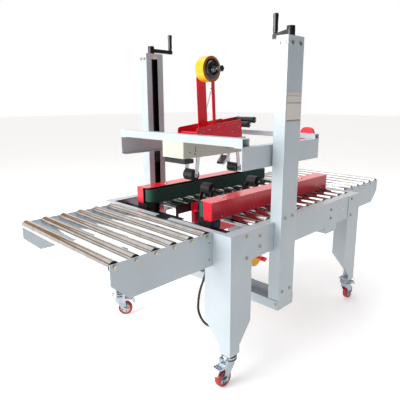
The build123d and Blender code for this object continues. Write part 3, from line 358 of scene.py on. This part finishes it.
def makePiece(name, shape, materials, body, replaced=(), bevel=0.0, smooth=35.0):
    mesh = bpy.data.meshes.new(name)
    bmesh.ops.scale(shape, vec=(mm, mm, mm), verts=shape.verts[:])
    bmesh.ops.remove_doubles(shape, verts=shape.verts[:], dist=1e-6)
    bmesh.ops.recalc_face_normals(shape, faces=shape.faces[:])
    for face in shape.faces:
        face.smooth = True
    for edge in shape.edges:
        if len(edge.link_faces) == 2 and edge.calc_face_angle(0.0) > math.radians(smooth):
            edge.smooth = False
    shape.to_mesh(mesh)
    shape.free()
    for material in materials:
        mesh.materials.append(material)
    piece = bpy.data.objects.new(name, mesh)
    bpy.context.scene.collection.objects.link(piece)
    if bevel:
        roundEdges(piece, bevel)
    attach(piece, body)
    if replaced:
        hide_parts(*replaced)
    return piece


def coil(name, start, end, radius, wire, turns, body, anchor=None):
    # a close wound tension spring with a hook at each end
    curve = bpy.data.curves.new(name, "CURVE")
    curve.dimensions = "3D"
    curve.bevel_depth = wire * mm
    curve.bevel_resolution = 2
    spline = curve.splines.new("POLY")
    start, end = Vector(start), Vector(end)
    line = end - start
    turn = Vector((0, 0, 1)).rotation_difference(line).to_matrix()
    stepsPerTurn, hook = 12, 0.12  # each hook takes this share of the length
    count = turns * stepsPerTurn
    spline.points.add(count + 2)
    places = [start]
    for i in range(count + 1):
        angle = 2 * math.pi * i / stepsPerTurn
        along = line.length * (hook + (1 - 2 * hook) * i / count)
        places.append(start + turn @ Vector((radius * math.cos(angle), radius * math.sin(angle), along)))
    places.append(end)
    for point, place in zip(spline.points, places):
        point.co = (*(place * mm), 1.0)
    piece = bpy.data.objects.new(name, curve)
    piece.data.materials.append(groundSteel)
    if anchor:  # the far end sits on another body, so the spring is made a plain mesh and left in the world, on neither body
        wound = piece
        piece = bpy.data.objects.new(name, bpy.data.meshes.new_from_object(wound))
        bpy.data.objects.remove(wound)
        piece.name = name
    bpy.context.scene.collection.objects.link(piece)
    if anchor:
        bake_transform(piece)
    else:
        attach(piece, body)


def addScrew(shape, centre, direction, radius, height):
    # a domed head with a socket
    profile = [(0, radius), (height * 0.45, radius), (height * 0.8, radius * 0.82), (height, radius * 0.5),
               (height, radius * 0.3), (height * 0.5, radius * 0.28), (height * 0.45, 0)]
    addLathe(shape, profile, centre, direction, 0, 20)


# bearing caps in the roller ends
caps = {"radius": 18.6, "rim": 17.0, "seat": 9.0, "bore": 5.4, "proud": 0.9, "nose": 1.4}


def addCap(shape, x, y, z, side):
    profile = [(-1.0, caps["radius"]), (caps["proud"], caps["radius"]), (caps["proud"], caps["rim"]),
               (0.3, caps["rim"] - 1.0), (0.3, caps["seat"]), (caps["nose"], caps["seat"] - 1.0),
               (caps["nose"], caps["bore"])]
    addLathe(shape, profile, (x, y, z), (0, side, 0), 0, 36)


for number in range(1, 7):
    low, high = boxOf(f"entry_roller_{number}")
    shape = bmesh.new()
    for side, y in ((-1, low[1]), (1, high[1])):
        addCap(shape, (low[0] + high[0]) / 2, y, (low[2] + high[2]) / 2, side)
    makePiece(f"entryRollerCaps{number}", shape, [blackAbs], f"entry_roller_{number}")

bedRollers = {"first": -300.0, "pitch": 75.0, "count": 11, "end": 357.0, "z": 592.0,
              "split": 78.0, "wholeFrom": 181.0}  # the front ones are split around the lower tape head
exitRollers = {"last": 930.0, "pitch": 78.5, "count": 6, "end": 311.0}
shape = bmesh.new()
for i in range(bedRollers["count"]):
    x = bedRollers["first"] + bedRollers["pitch"] * i
    for side in (-1, 1):
        addCap(shape, x, side * bedRollers["end"], bedRollers["z"], side)
        if x < bedRollers["wholeFrom"]:
            addCap(shape, x, side * bedRollers["split"], bedRollers["z"], -side)
for i in range(exitRollers["count"]):
    x = exitRollers["last"] - exitRollers["pitch"] * i
    for side in (-1, 1):
        addCap(shape, x, side * exitRollers["end"], bedRollers["z"], side)
makePiece("bedRollerCaps", shape, [blackAbs], "frame")
print("roller caps ready")

# domed screws where the end tables' plates meet the legs
tableScrews = {"x": 528.0, "y": 316.8, "z": (566.0, 500.0), "radius": 4.6, "height": 2.6}
shape = bmesh.new()
for side in (-1, 1):
    for end in (-1, 1):
        for z in tableScrews["z"]:
            addScrew(shape, (end * tableScrews["x"], side * tableScrews["y"], z), (0, side, 0),
                     tableScrews["radius"], tableScrews["height"])
makePiece("tableScrews", shape, [zincBolt], "frame")

# side belt covers: folded sheet with rounded edges and a rounded front corner
cover = {"sheet": 2.0, "edge": 3.0, "wallY": 196.0, "cornerRadius": 22.0, "cornerSteps": 6,
         "boltX": {"near": (-326.0, 262.0), "far": (-296.0, 262.0)}, "boltY": 200.0}
# gearmotor: cooling fins around its body, and a rating plate on its outer face
motor = {"y": (170.0, 239.0), "fins": 6, "firstFin": 4.0, "finPitch": 5.2, "finHeight": 2.2,
         "finX": (-1.2, 57.2), "plateX": (18.0, 44.0), "plateZ": (8.0, 24.0), "plateSheet": 0.6}
for name, side in sides.items():
    low, high = boxOf(f"{name}_belt_cover")
    inner, outer = (high[1], low[1]) if side < 0 else (low[1], high[1])
    wall = side * cover["wallY"]
    radius = cover["cornerRadius"]
    turns = [math.pi / 2 * k / cover["cornerSteps"] for k in range(1, cover["cornerSteps"] + 1)]
    corner = [(low[0] + radius * (1 - math.cos(a)), wall + (inner - wall) * math.sin(a)) for a in turns]
    rear = [(high[0], inner), (high[0], wall), (high[0], outer)]
    outline = [(low[0], outer), (low[0], wall)] + corner + rear
    shape = bmesh.new()
    verts = [shape.verts.new((x, y, high[2])) for x, y in outline]
    shape.faces.new(verts)
    upper = [verts[1], verts[0], verts[-1], verts[-2]]
    lower = [shape.verts.new((v.co.x, v.co.y, low[2])) for v in upper]
    for i in range(3):
        shape.faces.new((upper[i], upper[i + 1], lower[i + 1], lower[i]))
    unit = f"{name}_belt_unit"
    piece = makePiece(f"{name}BeltCover", shape, [redGloss], unit, (f"{name}_belt_cover",))
    folded = piece.modifiers.new("sheet", "SOLIDIFY")
    folded.thickness = cover["sheet"] * mm
    folded.offset = -1.0
    roundEdges(piece, cover["edge"], 4, 50)

    shape = bmesh.new()
    for x in cover["boltX"][name]:
        spot = (x, side * cover["boltY"], high[2] - 0.2)
        addScrew(shape, spot, (0, 0, 1), 7.0, 4.2)
        addLathe(shape, [(0, 9.0), (0.8, 8.6), (0.8, 0)], spot, (0, 0, 1), 0, 24)  # washer
    for x in (low[0] + 60, high[0] - 60, (low[0] + high[0]) / 2):
        addScrew(shape, (x, outer, low[2] + 12), (0, side, 0), 4.0, 1.6)
    makePiece(f"{name}CoverScrews", shape, [zincSteel], unit)

    low = boxOf(f"{name}_belt_drive")[0]
    y0, y1 = sorted(side * y for y in motor["y"])
    shape = bmesh.new()
    for k in range(motor["fins"]):
        z = low[2] + motor["firstFin"] + k * motor["finPitch"]
        addBox(shape, (low[0] + motor["finX"][0], y0 + 4, z),
               (low[0] + motor["finX"][1], y1 - 4, z + motor["finHeight"]))
    makePiece(f"{name}MotorFins", shape, [blackAbs], unit, (), 0.4)
    shape = bmesh.new()
    plateY = y0 - motor["plateSheet"] if side < 0 else y1 + 0.1
    addBox(shape, (low[0] + motor["plateX"][0], plateY, low[2] + motor["plateZ"][0]),
           (low[0] + motor["plateX"][1], plateY + motor["plateSheet"], low[2] + motor["plateZ"][1]))
    makePiece(f"{name}MotorPlate", shape, [bluePlate], unit, (), 0.15)
print("belt units ready")

# tape roll: film outside, uneven layers on both faces, and a card core
tape = {"axis": (-208.0, 1208.0), "radius": 55.0, "core": 38.0, "width": 48.0, "coreWall": 3.0,
        "layers": 14, "step": 0.35, "stray": 0.12, "facets": 96}
tapeAxis = (tape["axis"][0], 0, tape["axis"][1])
half = tape["width"] / 2
core = tape["core"] + tape["coreWall"]
layer = (tape["radius"] - core) / tape["layers"]
profile = [(-half, core)]
for k in range(tape["layers"]):
    sunk = -half + tape["step"] * (k % 2) + random.uniform(0, tape["stray"])
    flush = -half + random.uniform(0, tape["stray"])
    profile += [(sunk, core + layer * (k + 0.5)), (flush, core + layer * (k + 1))]
rim = half - 0.3
profile[-1] = (-rim, tape["radius"])
liner = [(-half, core), (-half, tape["core"] + 0.2), (half, tape["core"] + 0.2), (half, core)]
film = [(-rim, tape["radius"]), (rim, tape["radius"])]
mirrored = [(-a, r) for a, r in reversed(profile)]
shape = bmesh.new()
for tag, section in ((1, profile), (0, film), (1, mirrored), (2, liner)):
    addLathe(shape, section, tapeAxis, (0, 1, 0), tag, tape["facets"])
makePiece("tapeRoll", shape, [tapeFilm, tapeEdge, coreCard], "tape_spool", ("tape_roll",))

# moulded hub inside the roll, with a flange, a dished disc and a boss held by vanes
hub = {"flange": 44.0, "disc": 36.0, "lip": 33.0, "dish": 27.0, "boss": 14.0, "bore": 8.3, "vanes": 4}
face = -half - 0.1
profile = [
    (half - 3, hub["bore"]), (half - 3, tape["core"] - 0.6), (face, tape["core"] - 0.6),
    (face - 0.2, hub["flange"]), (face - 1.6, hub["flange"]), (face - 2.6, hub["flange"] - 1.5),
    (face - 2.6, hub["disc"]),
    (face - 7.2, hub["lip"]), (face - 8.0, hub["lip"] - 2.0), (face - 8.0, hub["dish"]),
    (face - 3.0, hub["dish"] - 1.5), (face - 3.0, hub["boss"] + 1.0), (face - 7.6, hub["boss"]),
    (face - 8.0, hub["boss"] - 1.5), (face - 8.0, hub["bore"])]
shape = bmesh.new()
addLathe(shape, [(-a, r) for a, r in profile], tapeAxis, (0, -1, 0), 0, 64)
vane = [(13.0, -2.2), (27.0, -3.4), (27.0, 3.4), (13.0, 2.2)]
for k in range(hub["vanes"]):
    turn = Matrix.Rotation(-math.radians(45 + 90 * k), 4, "Y")
    spot = Matrix.Translation((tapeAxis[0], face - 7.4, tapeAxis[2]))
    addPlate(shape, vane, [], 4.6, spot @ turn @ facingY(0))
makePiece("tapeHub", shape, [blackPhenolic], "tape_spool", ("tape_hub",), 0.3)

# mast: a windowed upright on a folded foot, carrying the spindle, its brake nut and a fluted knob
mast = {"root": 903.0, "lean": 14.0, "shift": 13.0, "width": 114.0, "strip": 57.0, "bar": 20.0, "neck": 38.0,
        "sheet": 3.0, "y": 27.0, "footY": 54.0, "spindle": 8.0, "reach": 66.0, "flutes": 6, "fluteRing": 10.6}
bar, footX = mast["bar"], tapeAxis[0] - mast["width"] / 2 + mast["shift"] + mast["lean"]
headX = footX - mast["lean"]
neck = tapeAxis[2] - mast["neck"]
outline = roundCorners([
    (footX, mast["root"]), (footX + mast["width"], mast["root"]), (headX + mast["width"], neck),
    (tapeAxis[0] + bar, tapeAxis[2] + bar), (tapeAxis[0] - bar, tapeAxis[2] + bar), (headX, neck)], 6.0)
window = roundCorners([
    (footX + mast["strip"], mast["root"] + bar), (footX + mast["width"] - bar, mast["root"] + bar),
    (headX + mast["width"] - bar, neck - bar / 2), (headX + mast["strip"], neck - bar / 2)], 5.0)
shape = bmesh.new()
addPlate(shape, outline, [window], mast["sheet"], facingY(mast["y"]))
addBox(shape, (footX, mast["y"], mast["root"]),
       (footX + mast["width"], mast["footY"], mast["root"] + mast["sheet"]))
reach, pin = mast["reach"], mast["spindle"]
addLathe(shape, [(-27.4, 0), (-27.4, pin), (reach, pin), (reach, 0)], tapeAxis, (0, -1, 0), 1, 32)
addLathe(shape, [(-27.0, 12.0), (-24.2, 12.0), (-24.2, pin)], tapeAxis, (0, -1, 0), 1, 32)  # shoulder
nutPlace = Matrix.Translation((tapeAxis[0], -40.5, tapeAxis[2])) @ facingY(0)
addPlate(shape, ringOf((0, 0), 12.5, 6), [], 7.0, nutPlace, 1)
addLathe(shape, [(32.2, 8.2), (32.2, 13.6), (33.4, 13.6), (33.4, 8.2)], tapeAxis, (0, -1, 0), 1, 32)  # washer
knob = [(66.0, 8.2), (66.0, 11.0), (68.0, 12.6), (72.0, 12.0), (78.0, 12.6), (83.0, 12.8), (85.6, 10.0),
        (86.0, 0)]
addLathe(shape, knob, tapeAxis, (0, -1, 0), 2, 32)
flute = [(67.5, 0), (67.5, 2.6), (69.0, 3.4), (83.0, 3.4), (84.6, 2.4), (84.6, 0)]
for x, z in ringOf(tape["axis"], mast["fluteRing"], mast["flutes"]):
    addLathe(shape, flute, (x, 0, z), (0, -1, 0), 2, 14)
mastMaterials = [redCoat, groundSteel, blackPhenolic]
makePiece("tapeMast", shape, mastMaterials, "head", ("tape_mast",), 0.5)

# brake spring across the mast, and the screws on the mast's near face
brake = {"top": (-162.0, 1128.0), "low": (-192.0, 1040.0), "springY": 23.5,
         "screws": ((-196.0, 985.0), (-150.0, 950.0))}
ends = [(x, brake["springY"], z) for x, z in (brake["low"], brake["top"])]
coil("mastSpring", ends[0], ends[1], 2.2, 0.5, 40, "head")
shape = bmesh.new()
for x, z in (brake["top"], brake["low"], *brake["screws"]):
    addScrew(shape, (x, mast["y"], z), (0, -1, 0), 3.4, 2.4)
makePiece("mastScrews", shape, [groundSteel], "head")
print("tape ready")

# black grooved guide rollers at the rear of the upper cartridge
guides = {"radius": 13.4, "rib": 0.9, "ribPitch": 9.0, "end": 15.2, "from": -56.0, "to": 53.0,
          "axes": ((15.0, 963.0), (57.0, 983.0))}
for number, (x, z) in enumerate(guides["axes"], 1):
    near, far, body, rim = guides["from"], guides["to"], guides["radius"], guides["end"]
    profile = [(near, 5.0), (near, rim - 1.0), (near + 1, rim), (near + 7, rim), (near + 8, body)]
    along = near + 10
    while along < far - 12:
        ridge = body + guides["rib"]
        profile += [(along, body), (along + 1.0, ridge), (along + 5.0, ridge), (along + 6.0, body)]
        along += guides["ribPitch"]
    profile += [(far - 8, body), (far - 7, rim), (far - 1, rim), (far, rim - 1.0), (far, 5.0)]
    shape = bmesh.new()
    addLathe(shape, profile, (x, 0, z), (0, 1, 0), 0, 40)
    addLathe(shape, [(-64.0, 0), (-64.0, 4.4), (-63.0, 5.2), (-56.0, 5.2)], (x, 0, z), (0, 1, 0), 1, 24)
    makePiece(f"guideRoller{number}", shape, [blackAbs, groundSteel], "head")

# screws on the upper cartridge: along its near plate, on its cross pins, and on the arms' pivots
cartridge = {
    "plateY": 60.9, "housingY": 65.9,
    "screws": ((-300, 947), (-262, 954), (-205, 962), (-150, 970), (-96, 978), (-64, 955), (-50, 902)),
    "pins": ((-318, 940), (-110, 940), (-75, 960)),
    "pivots": ((-385, 860), (-150, 862)),
    "slot": ((-352.5, 863.0), (-349.5, 863.0), (-349.5, 889.0), (-352.5, 889.0)),
    "stud": (-356.0, 856.0),
}
shape = bmesh.new()
for x, z in cartridge["screws"]:
    addScrew(shape, (x, -cartridge["plateY"], z), (0, -1, 0), 3.2, 2.2)
for x, z in cartridge["pins"]:
    addScrew(shape, (x, -cartridge["plateY"], z), (0, -1, 0), 4.6, 3.0)
for x, z in cartridge["pivots"]:
    for side in (-1, 1):
        addScrew(shape, (x, side * cartridge["housingY"], z), (0, side, 0), 6.0, 2.6)
makePiece("cartridgeScrews", shape, [groundSteel], "head")
# the slot in the housing's near face is a thin black plate, painted shade where the slot opens; the small
# stud beside it is drawn in the same black
shape = bmesh.new()
addPlate(shape, roundCorners(cartridge["slot"], 1.4), [], 0.5, facingY(-cartridge["housingY"] - 0.5))
stud = (cartridge["stud"][0], -cartridge["housingY"], cartridge["stud"][1])
addLathe(shape, [(0, 0), (0, 3.4), (1.6, 3.0), (1.6, 0)], stud, (0, -1, 0), 0, 20)
makePiece("housingSlot", shape, [shadeBlack], "head", (), 0.2)

# cutter guard: two bent cheeks, a rubbing plate across the tip and the knife behind it
guard = {"pivot": (-62.0, 868.0), "reach": 106.0, "lean": 53.0, "half": 22.0, "sheet": 1.6, "tip": 1.2,
         "bore": 5.9, "tube": 8.4, "knife": ((58, -2), (96, 1), (96, 2), (58, -1)), "knifeWidth": 36.0}
lean = math.radians(guard["lean"])
px, pz = guard["pivot"]
down = Vector((-math.cos(lean), -math.sin(lean)))
aside = Vector((-down.y, down.x))


def onGuard(along, across):
    return px + down.x * along + aside.x * across, pz + down.y * along + aside.y * across


spine = [(0, 0, 9.0), (30, 3, 7.0), (62, 5, 6.0), (92, 2, 6.5), (guard["reach"], 0, 4.0)]
front = [onGuard(along, bend + width) for along, bend, width in spine]
back = [onGuard(along, bend - width) for along, bend, width in spine]
shape = bmesh.new()
for y in (-guard["half"], guard["half"] - guard["sheet"]):
    bore = ringOf(guard["pivot"], guard["bore"])
    addPlate(shape, front + back[::-1], [bore], guard["sheet"], facingY(y))
tip = [front[-2], front[-1], back[-1]]
strip = tip + [(x + guard["tip"], z + guard["tip"]) for x, z in tip[::-1]]
inside = guard["half"] - 0.2
addPlate(shape, strip, [], 2 * inside, facingY(-inside))
knife = [onGuard(along, across) for along, across in guard["knife"]]
addPlate(shape, knife, [], guard["knifeWidth"], facingY(-guard["knifeWidth"] / 2), 1)
addLathe(shape, [(-inside, 6.2), (-inside, guard["tube"]), (inside, guard["tube"]), (inside, 6.2)],
         (px, 0, pz), (0, 1, 0), 0, 28)
guardMaterials = [zincSteel, groundSteel]
makePiece("cutterGuard", shape, guardMaterials, "upper_cutter_arm",
          ("upper_cutter_arm",), 0.3)
coil("cutterSpring", (-90.0, -24.0, 846.0), (-130.0, -24.0, 893.0), 3.0, 0.5, 26, "upper_cutter_arm", "head")

# press rollers: rubber ends with a steel washer, a sleeve on the rear ones, and nuts on their arms.
# each has its axis in X and Z, and its radius
pressRollers = {"upper_front_roller": (-316.0, 756.0, 25.0), "upper_rear_arm": (-28.0, 758.0, 22.0),
                "lower_front_roller": (-209.0, 678.0, 25.0), "lower_rear_arm": (130.0, 667.0, 25.0)}
nutY = 33.9
for body, (x, z, radius) in pressRollers.items():
    ends = [(28.2, radius - 1.4), (28.6, radius - 2.2), (28.6, 13.0), (27.4, 12.0), (27.4, 9.6), (29.4, 9.0),
            (29.4, 5.4)]
    shape = bmesh.new()
    for side in (-1, 1):
        addLathe(shape, ends, (x, 0, z), (0, side, 0), 0, 40)
        addLathe(shape, [(29.2, 8.8), (29.6, 8.8), (29.6, 5.3)], (x, 0, z), (0, side, 0), 1, 28)
    if body.endswith("_arm"):
        sleeve = [(-28.3, radius - 1.2), (-27.4, radius + 0.25), (27.4, radius + 0.25), (28.3, radius - 1.2)]
        addLathe(shape, sleeve, (x, 0, z), (0, 1, 0), 0, 56)
    label = body.split("_arm")[0].replace("_", "")
    makePiece(f"{label}Ends", shape, [pressRubber, groundSteel], body)
    arm = body.replace("roller", "arm")
    shape = bmesh.new()
    for side in (-1, 1):
        addScrew(shape, (x, side * nutY, z), (0, side, 0), 6.4, 3.4)
    makePiece(arm.replace("_", "") + "Nuts", shape, [groundSteel], arm)
print("cartridge details ready")

# column liners: thin black sheets inside the columns, put there to paint the shade seen through the open
# slots
liner = {"inset": 3.25, "sheet": 0.4, "x": (-247.0, -143.0), "z": (236.0, 1299.0), "y": (388.3, 437.0),
         "slot": (-216.0, -174.0), "lipY": (388.2, 388.6)}
for name, side in sides.items():
    x0, x1 = liner["x"][0] + liner["inset"], liner["x"][1] - liner["inset"]
    z0, z1 = liner["z"]
    front, back = side * liner["y"][0], side * (liner["y"][1] - liner["inset"])
    lips = [side * y for y in liner["lipY"]]
    walls = (
        (x0, x1, back, back - side * liner["sheet"]),
        (x0, x0 + liner["sheet"], front, back),
        (x1 - liner["sheet"], x1, front, back),
        (x0, liner["slot"][0], *lips),
        (liner["slot"][1], x1, *lips),
    )
    shape = bmesh.new()
    for left, right, first, last in walls:
        addBox(shape, (left, min(first, last), z0), (right, max(first, last), z1))
    makePiece(f"{name}ColumnShadeSheet", shape, [shadeBlack], "frame")

# cranks: cast arm, steel washer and a turned grip
crank = {"reach": 125.0, "top": 1303.0, "armZ": 1310.7, "armHeight": 16.6, "x": -195.0, "y": 411.0,
         "angles": {"near": 62.0, "far": 0.0}}
crankHub = [(1.0, 0), (1.0, 15.4), (2.0, 16.2), (34.0, 15.6), (36.5, 14.4), (37.3, 12.0), (37.3, 0)]
grip = [(25.0, 0), (25.0, 8.0), (29.0, 8.6), (40.0, 10.4), (60.0, 9.7), (80.0, 10.1), (95.0, 11.2),
        (101.0, 10.2), (103.2, 7.0), (103.2, 0)]
gripPin = [(102.0, 0), (102.0, 4.2), (103.4, 3.6), (103.4, 0)]
crankEnd = crank["reach"] + 11
crankArm = roundCorners([(0, -14.5), (crankEnd, -10.6), (crankEnd, 10.6), (0, 14.5)], 8.0)
for name, side in sides.items():
    angle = math.radians(crank["angles"][name])
    x, y = crank["x"], side * crank["y"]
    gripPlace = (x + crank["reach"] * math.cos(angle), y + crank["reach"] * math.sin(angle), crank["top"])
    shape = bmesh.new()
    addLathe(shape, crankHub, (x, y, crank["top"]), (0, 0, 1), 0, 40)
    place = Matrix.Translation((x, y, crank["armZ"])) @ Matrix.Rotation(angle, 4, "Z")
    addPlate(shape, crankArm, [], crank["armHeight"], place)
    addLathe(shape, grip, gripPlace, (0, 0, 1), 1, 36)
    addLathe(shape, gripPin, gripPlace, (0, 0, 1), 2, 20)
    crankMaterials = [blackAbs, blackPhenolic, groundSteel]
    makePiece(f"{name}Crank", shape, crankMaterials, f"{name}_lift_screw", (), 0.8)
print("columns ready")

# castors: cast tread on a pressed centre with five dimples, the swivel race under the foot, and the ribs
# on the brake pedal
castor = {"footX": 482.0, "footY": 379.5, "trail": 35.0, "radius": 36.0, "dimples": 5, "dimpleRing": 18.6,
          "nut": 9.0, "nutAt": 17.2, "treads": 4, "treadPitch": 6.0, "pedalFrom": 44.0, "pedalHalf": 15.0}
swivels = {"near_front": (-1, -1, 180.0), "far_front": (-1, 1, -45.0), "near_rear": (1, -1, 0.0),
           "far_rear": (1, 1, 180.0)}  # end, side, and the trail's direction in degrees
tread = [(-12.6, 25.0), (-13.0, 30.0), (-12.0, 33.5), (-8.0, 35.6), (0.0, 36.0), (8.0, 35.6), (12.0, 33.5),
         (13.0, 30.0), (12.6, 25.0)]
wheelCentre = [(-12.6, 25.0), (-9.0, 24.0), (-8.2, 13.0), (-12.4, 11.5), (-12.9, 6.0), (-12.9, 5.2),
               (12.9, 5.2), (12.9, 6.0), (12.4, 11.5), (8.2, 13.0), (9.0, 24.0), (12.6, 25.0)]
race = [(98.0, 20.0), (98.0, 27.0), (100.5, 30.0), (104.0, 31.2), (107.0, 30.0), (108.6, 27.6), (110.6, 27.6),
        (113.2, 30.6), (117.0, 31.0), (120.0, 29.0), (121.6, 24.0), (124.2, 16.0), (124.2, 0)]
dimple = [(8.3, 0), (8.3, 3.8), (9.2, 3.2), (9.2, 0)]
for name, (end, side, degrees) in swivels.items():
    angle = math.radians(degrees)
    foot = Vector((end * castor["footX"], side * castor["footY"], 0))
    trail = Vector((math.cos(angle), math.sin(angle), 0))
    along = Vector((-math.sin(angle), math.cos(angle), 0))
    hubPlace = foot + trail * castor["trail"] + Vector((0, 0, castor["radius"]))
    shape = bmesh.new()
    addLathe(shape, tread, hubPlace, along, 0, 56)
    addLathe(shape, wheelCentre, hubPlace, along, 1, 48)
    # the dimples are thin black discs that paint the shade in their hollows
    for out, up in ringOf((0, 0), castor["dimpleRing"], castor["dimples"]):
        for facing in (-1, 1):
            addLathe(shape, dimple, hubPlace + trail * out + Vector((0, 0, up)), along * facing, 2, 16)
    wheelMaterials = [redUrethane, ironHub, shadeBlack]
    makePiece(f"{name}Wheel", shape, wheelMaterials, f"{name}_wheel", (f"{name}_wheel",))
    shape = bmesh.new()
    addLathe(shape, race, foot, (0, 0, 1), 0, 48)
    for facing in (-1, 1):
        turn = Vector((0, 0, 1)).rotation_difference(along * facing).to_matrix().to_4x4()
        nutPlace = Matrix.Translation(hubPlace) @ turn @ Matrix.Translation((0, 0, castor["nutAt"]))
        addPlate(shape, ringOf((0, 0), castor["nut"], 6), [], 5.0, nutPlace)
    pedal = Matrix.Translation(foot) @ Matrix.Rotation(angle, 4, "Z")
    wide = castor["pedalHalf"]
    for k in range(castor["treads"]):
        out = castor["pedalFrom"] + castor["treadPitch"] * k
        height = 88.6 + (out - 37.7) * 0.1  # the pedal rises one in ten
        rib = [(out, -wide), (out + 2.4, -wide), (out + 2.4, wide), (out, wide)]
        addPlate(shape, rib, [], 2.4, pedal @ Matrix.Translation((0, 0, height)))
    makePiece(f"{name}Race", shape, [zincSteel], f"{name}_fork", (), 0.4)
print("castors ready")

# studio: white paper on the floor, lit a little from itself so that it stays white
studio = {"floor": 60.0, "paper": "#ffffff", "fleck": "#fdfdfd", "floorGlow": 0.36, "worldStrength": 1.0}
bpy.ops.mesh.primitive_plane_add(size=studio["floor"], location=(0, 0, 0))
floor = bpy.context.object
floor.name = "studioFloor"
material, tree = newMaterial("studioPaper")
grain = addNode(tree, "ShaderNodeTexNoise", {"Scale": perMm(3.0), "Detail": 2.0})
tint = addNode(tree, "ShaderNodeValToRGB", {"Fac": grain.outputs["Fac"]})
setRamp(tint, [(0.3, studio["paper"]), (0.8, studio["fleck"])])
closeMaterial(tree, addNode(tree, "ShaderNodeBsdfPrincipled", {
    "Base Color": tint.outputs["Color"], "Roughness": 0.9, "Emission Color": tint.outputs["Color"],
    "Emission Strength": studio["floorGlow"]}))
floor.data.materials.append(material)

# the room that the metal reflects: white where the lights are, darker on the near right, and with a warm band
# and a dark one high up
room = {
    "darkSide": (0.35, -0.94, 0.0),
    "sideTones": [(0.05, "#ffffff"), (0.3, "#85878b"), (0.6, "#606266"), (1.0, "#5a5c60")],
    "bands": [(0.32, "#ffffff"), (0.36, "#c9a685"), (0.50, "#a5805f"), (0.53, "#ffffff"), (0.69, "#ffffff"),
              (0.72, "#55555b"), (0.76, "#77777d"), (0.80, "#ffffff")],
}
world = bpy.data.worlds.new("studioWorld")
world.use_nodes = True
tree = world.node_tree
tree.nodes.clear()
ray = addNode(tree, "ShaderNodeTexCoord").outputs["Generated"]
darkness = addNode(tree, "ShaderNodeVectorMath", {0: ray, 1: room["darkSide"]}, operation="DOT_PRODUCT")
side = addNode(tree, "ShaderNodeValToRGB", {"Fac": darkness.outputs["Value"]})
setRamp(side, room["sideTones"])
height = addNode(tree, "ShaderNodeSeparateXYZ", {"Vector": ray})
band = addNode(tree, "ShaderNodeValToRGB", {"Fac": height.outputs["Z"]})
setRamp(band, room["bands"])
mixed = addNode(tree, "ShaderNodeMix", {0: 1.0, 6: side.outputs["Color"], 7: band.outputs["Color"]},
                data_type="RGBA", blend_type="MULTIPLY")
walls = addNode(tree, "ShaderNodeBackground", {
    "Color": mixed.outputs[2], "Strength": studio["worldStrength"]})
backdrop = addNode(tree, "ShaderNodeBackground", {"Color": hexColor(studio["paper"]), "Strength": 1.0})
seen = addNode(tree, "ShaderNodeLightPath").outputs["Is Camera Ray"]  # behind the machine it is plain white
surroundings = addNode(tree, "ShaderNodeMixShader", {
    0: seen, 1: walls.outputs["Background"], 2: backdrop.outputs["Background"]})
addNode(tree, "ShaderNodeOutputWorld", {"Surface": surroundings.outputs["Shader"]})
bpy.context.scene.world = world
bpy.context.scene.view_settings.view_transform = "Standard"

studioLights = {
    "keyLight": {"place": (-3.6, 0.9, 2.0), "size": 2.4, "power": 125},
    "topLight": {"place": (0.2, 0.6, 3.6), "size": 3.0, "power": 45},
}
lightTarget = Vector((0, 0, 0.7))
for name, light in studioLights.items():
    lightData = bpy.data.lights.new(name, "AREA")
    lightData.size = light["size"]
    lightData.energy = light["power"]
    lamp = bpy.data.objects.new(name, lightData)
    lamp.location = light["place"]
    lamp.rotation_euler = (lightTarget - lamp.location).to_track_quat("-Z", "Y").to_euler()
    bpy.context.scene.collection.objects.link(lamp)
print("studio ready")

# motor lead, hanging in a slack loop between its two glands
lead = {
    "radius": 0.005,
    "exit": (-0.440, -0.232, 0.551),
    "length": 0.786,
    "route": [
        (-0.440, -0.232, 0.551), (-0.440, -0.232, 0.492), (-0.441, -0.222, 0.424), (-0.443, -0.205, 0.364),
        (-0.445, -0.184, 0.312), (-0.447, -0.175, 0.262), (-0.450, -0.175, 0.209), (-0.454, -0.210, 0.174),
        (-0.459, -0.260, 0.174), (-0.464, -0.295, 0.209), (-0.468, -0.295, 0.264), (-0.468, -0.306, 0.316),
        (-0.464, -0.330, 0.362), (-0.454, -0.368, 0.392), (-0.440, -0.3915, 0.428), (-0.440, -0.3915, 0.472),
    ],
}
curve = bpy.data.curves.new("motorLead", "CURVE")
curve.dimensions = "3D"
curve.bevel_depth = lead["radius"]
curve.bevel_resolution = 6
curve.use_fill_caps = True
spline = curve.splines.new("NURBS")
spline.points.add(len(lead["route"]) - 1)
for point, place in zip(spline.points, lead["route"]):
    point.co = (*place, 1.0)
spline.order_u = 3
spline.use_endpoint_u = True
spline.resolution_u = 12
motorLead = bpy.data.objects.new("motorLead", curve)
bpy.context.scene.collection.objects.link(motorLead)
motorLead.data.materials.append(cableSheath)
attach(motorLead, "frame")
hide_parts("motor_lead")
print("lead ready")
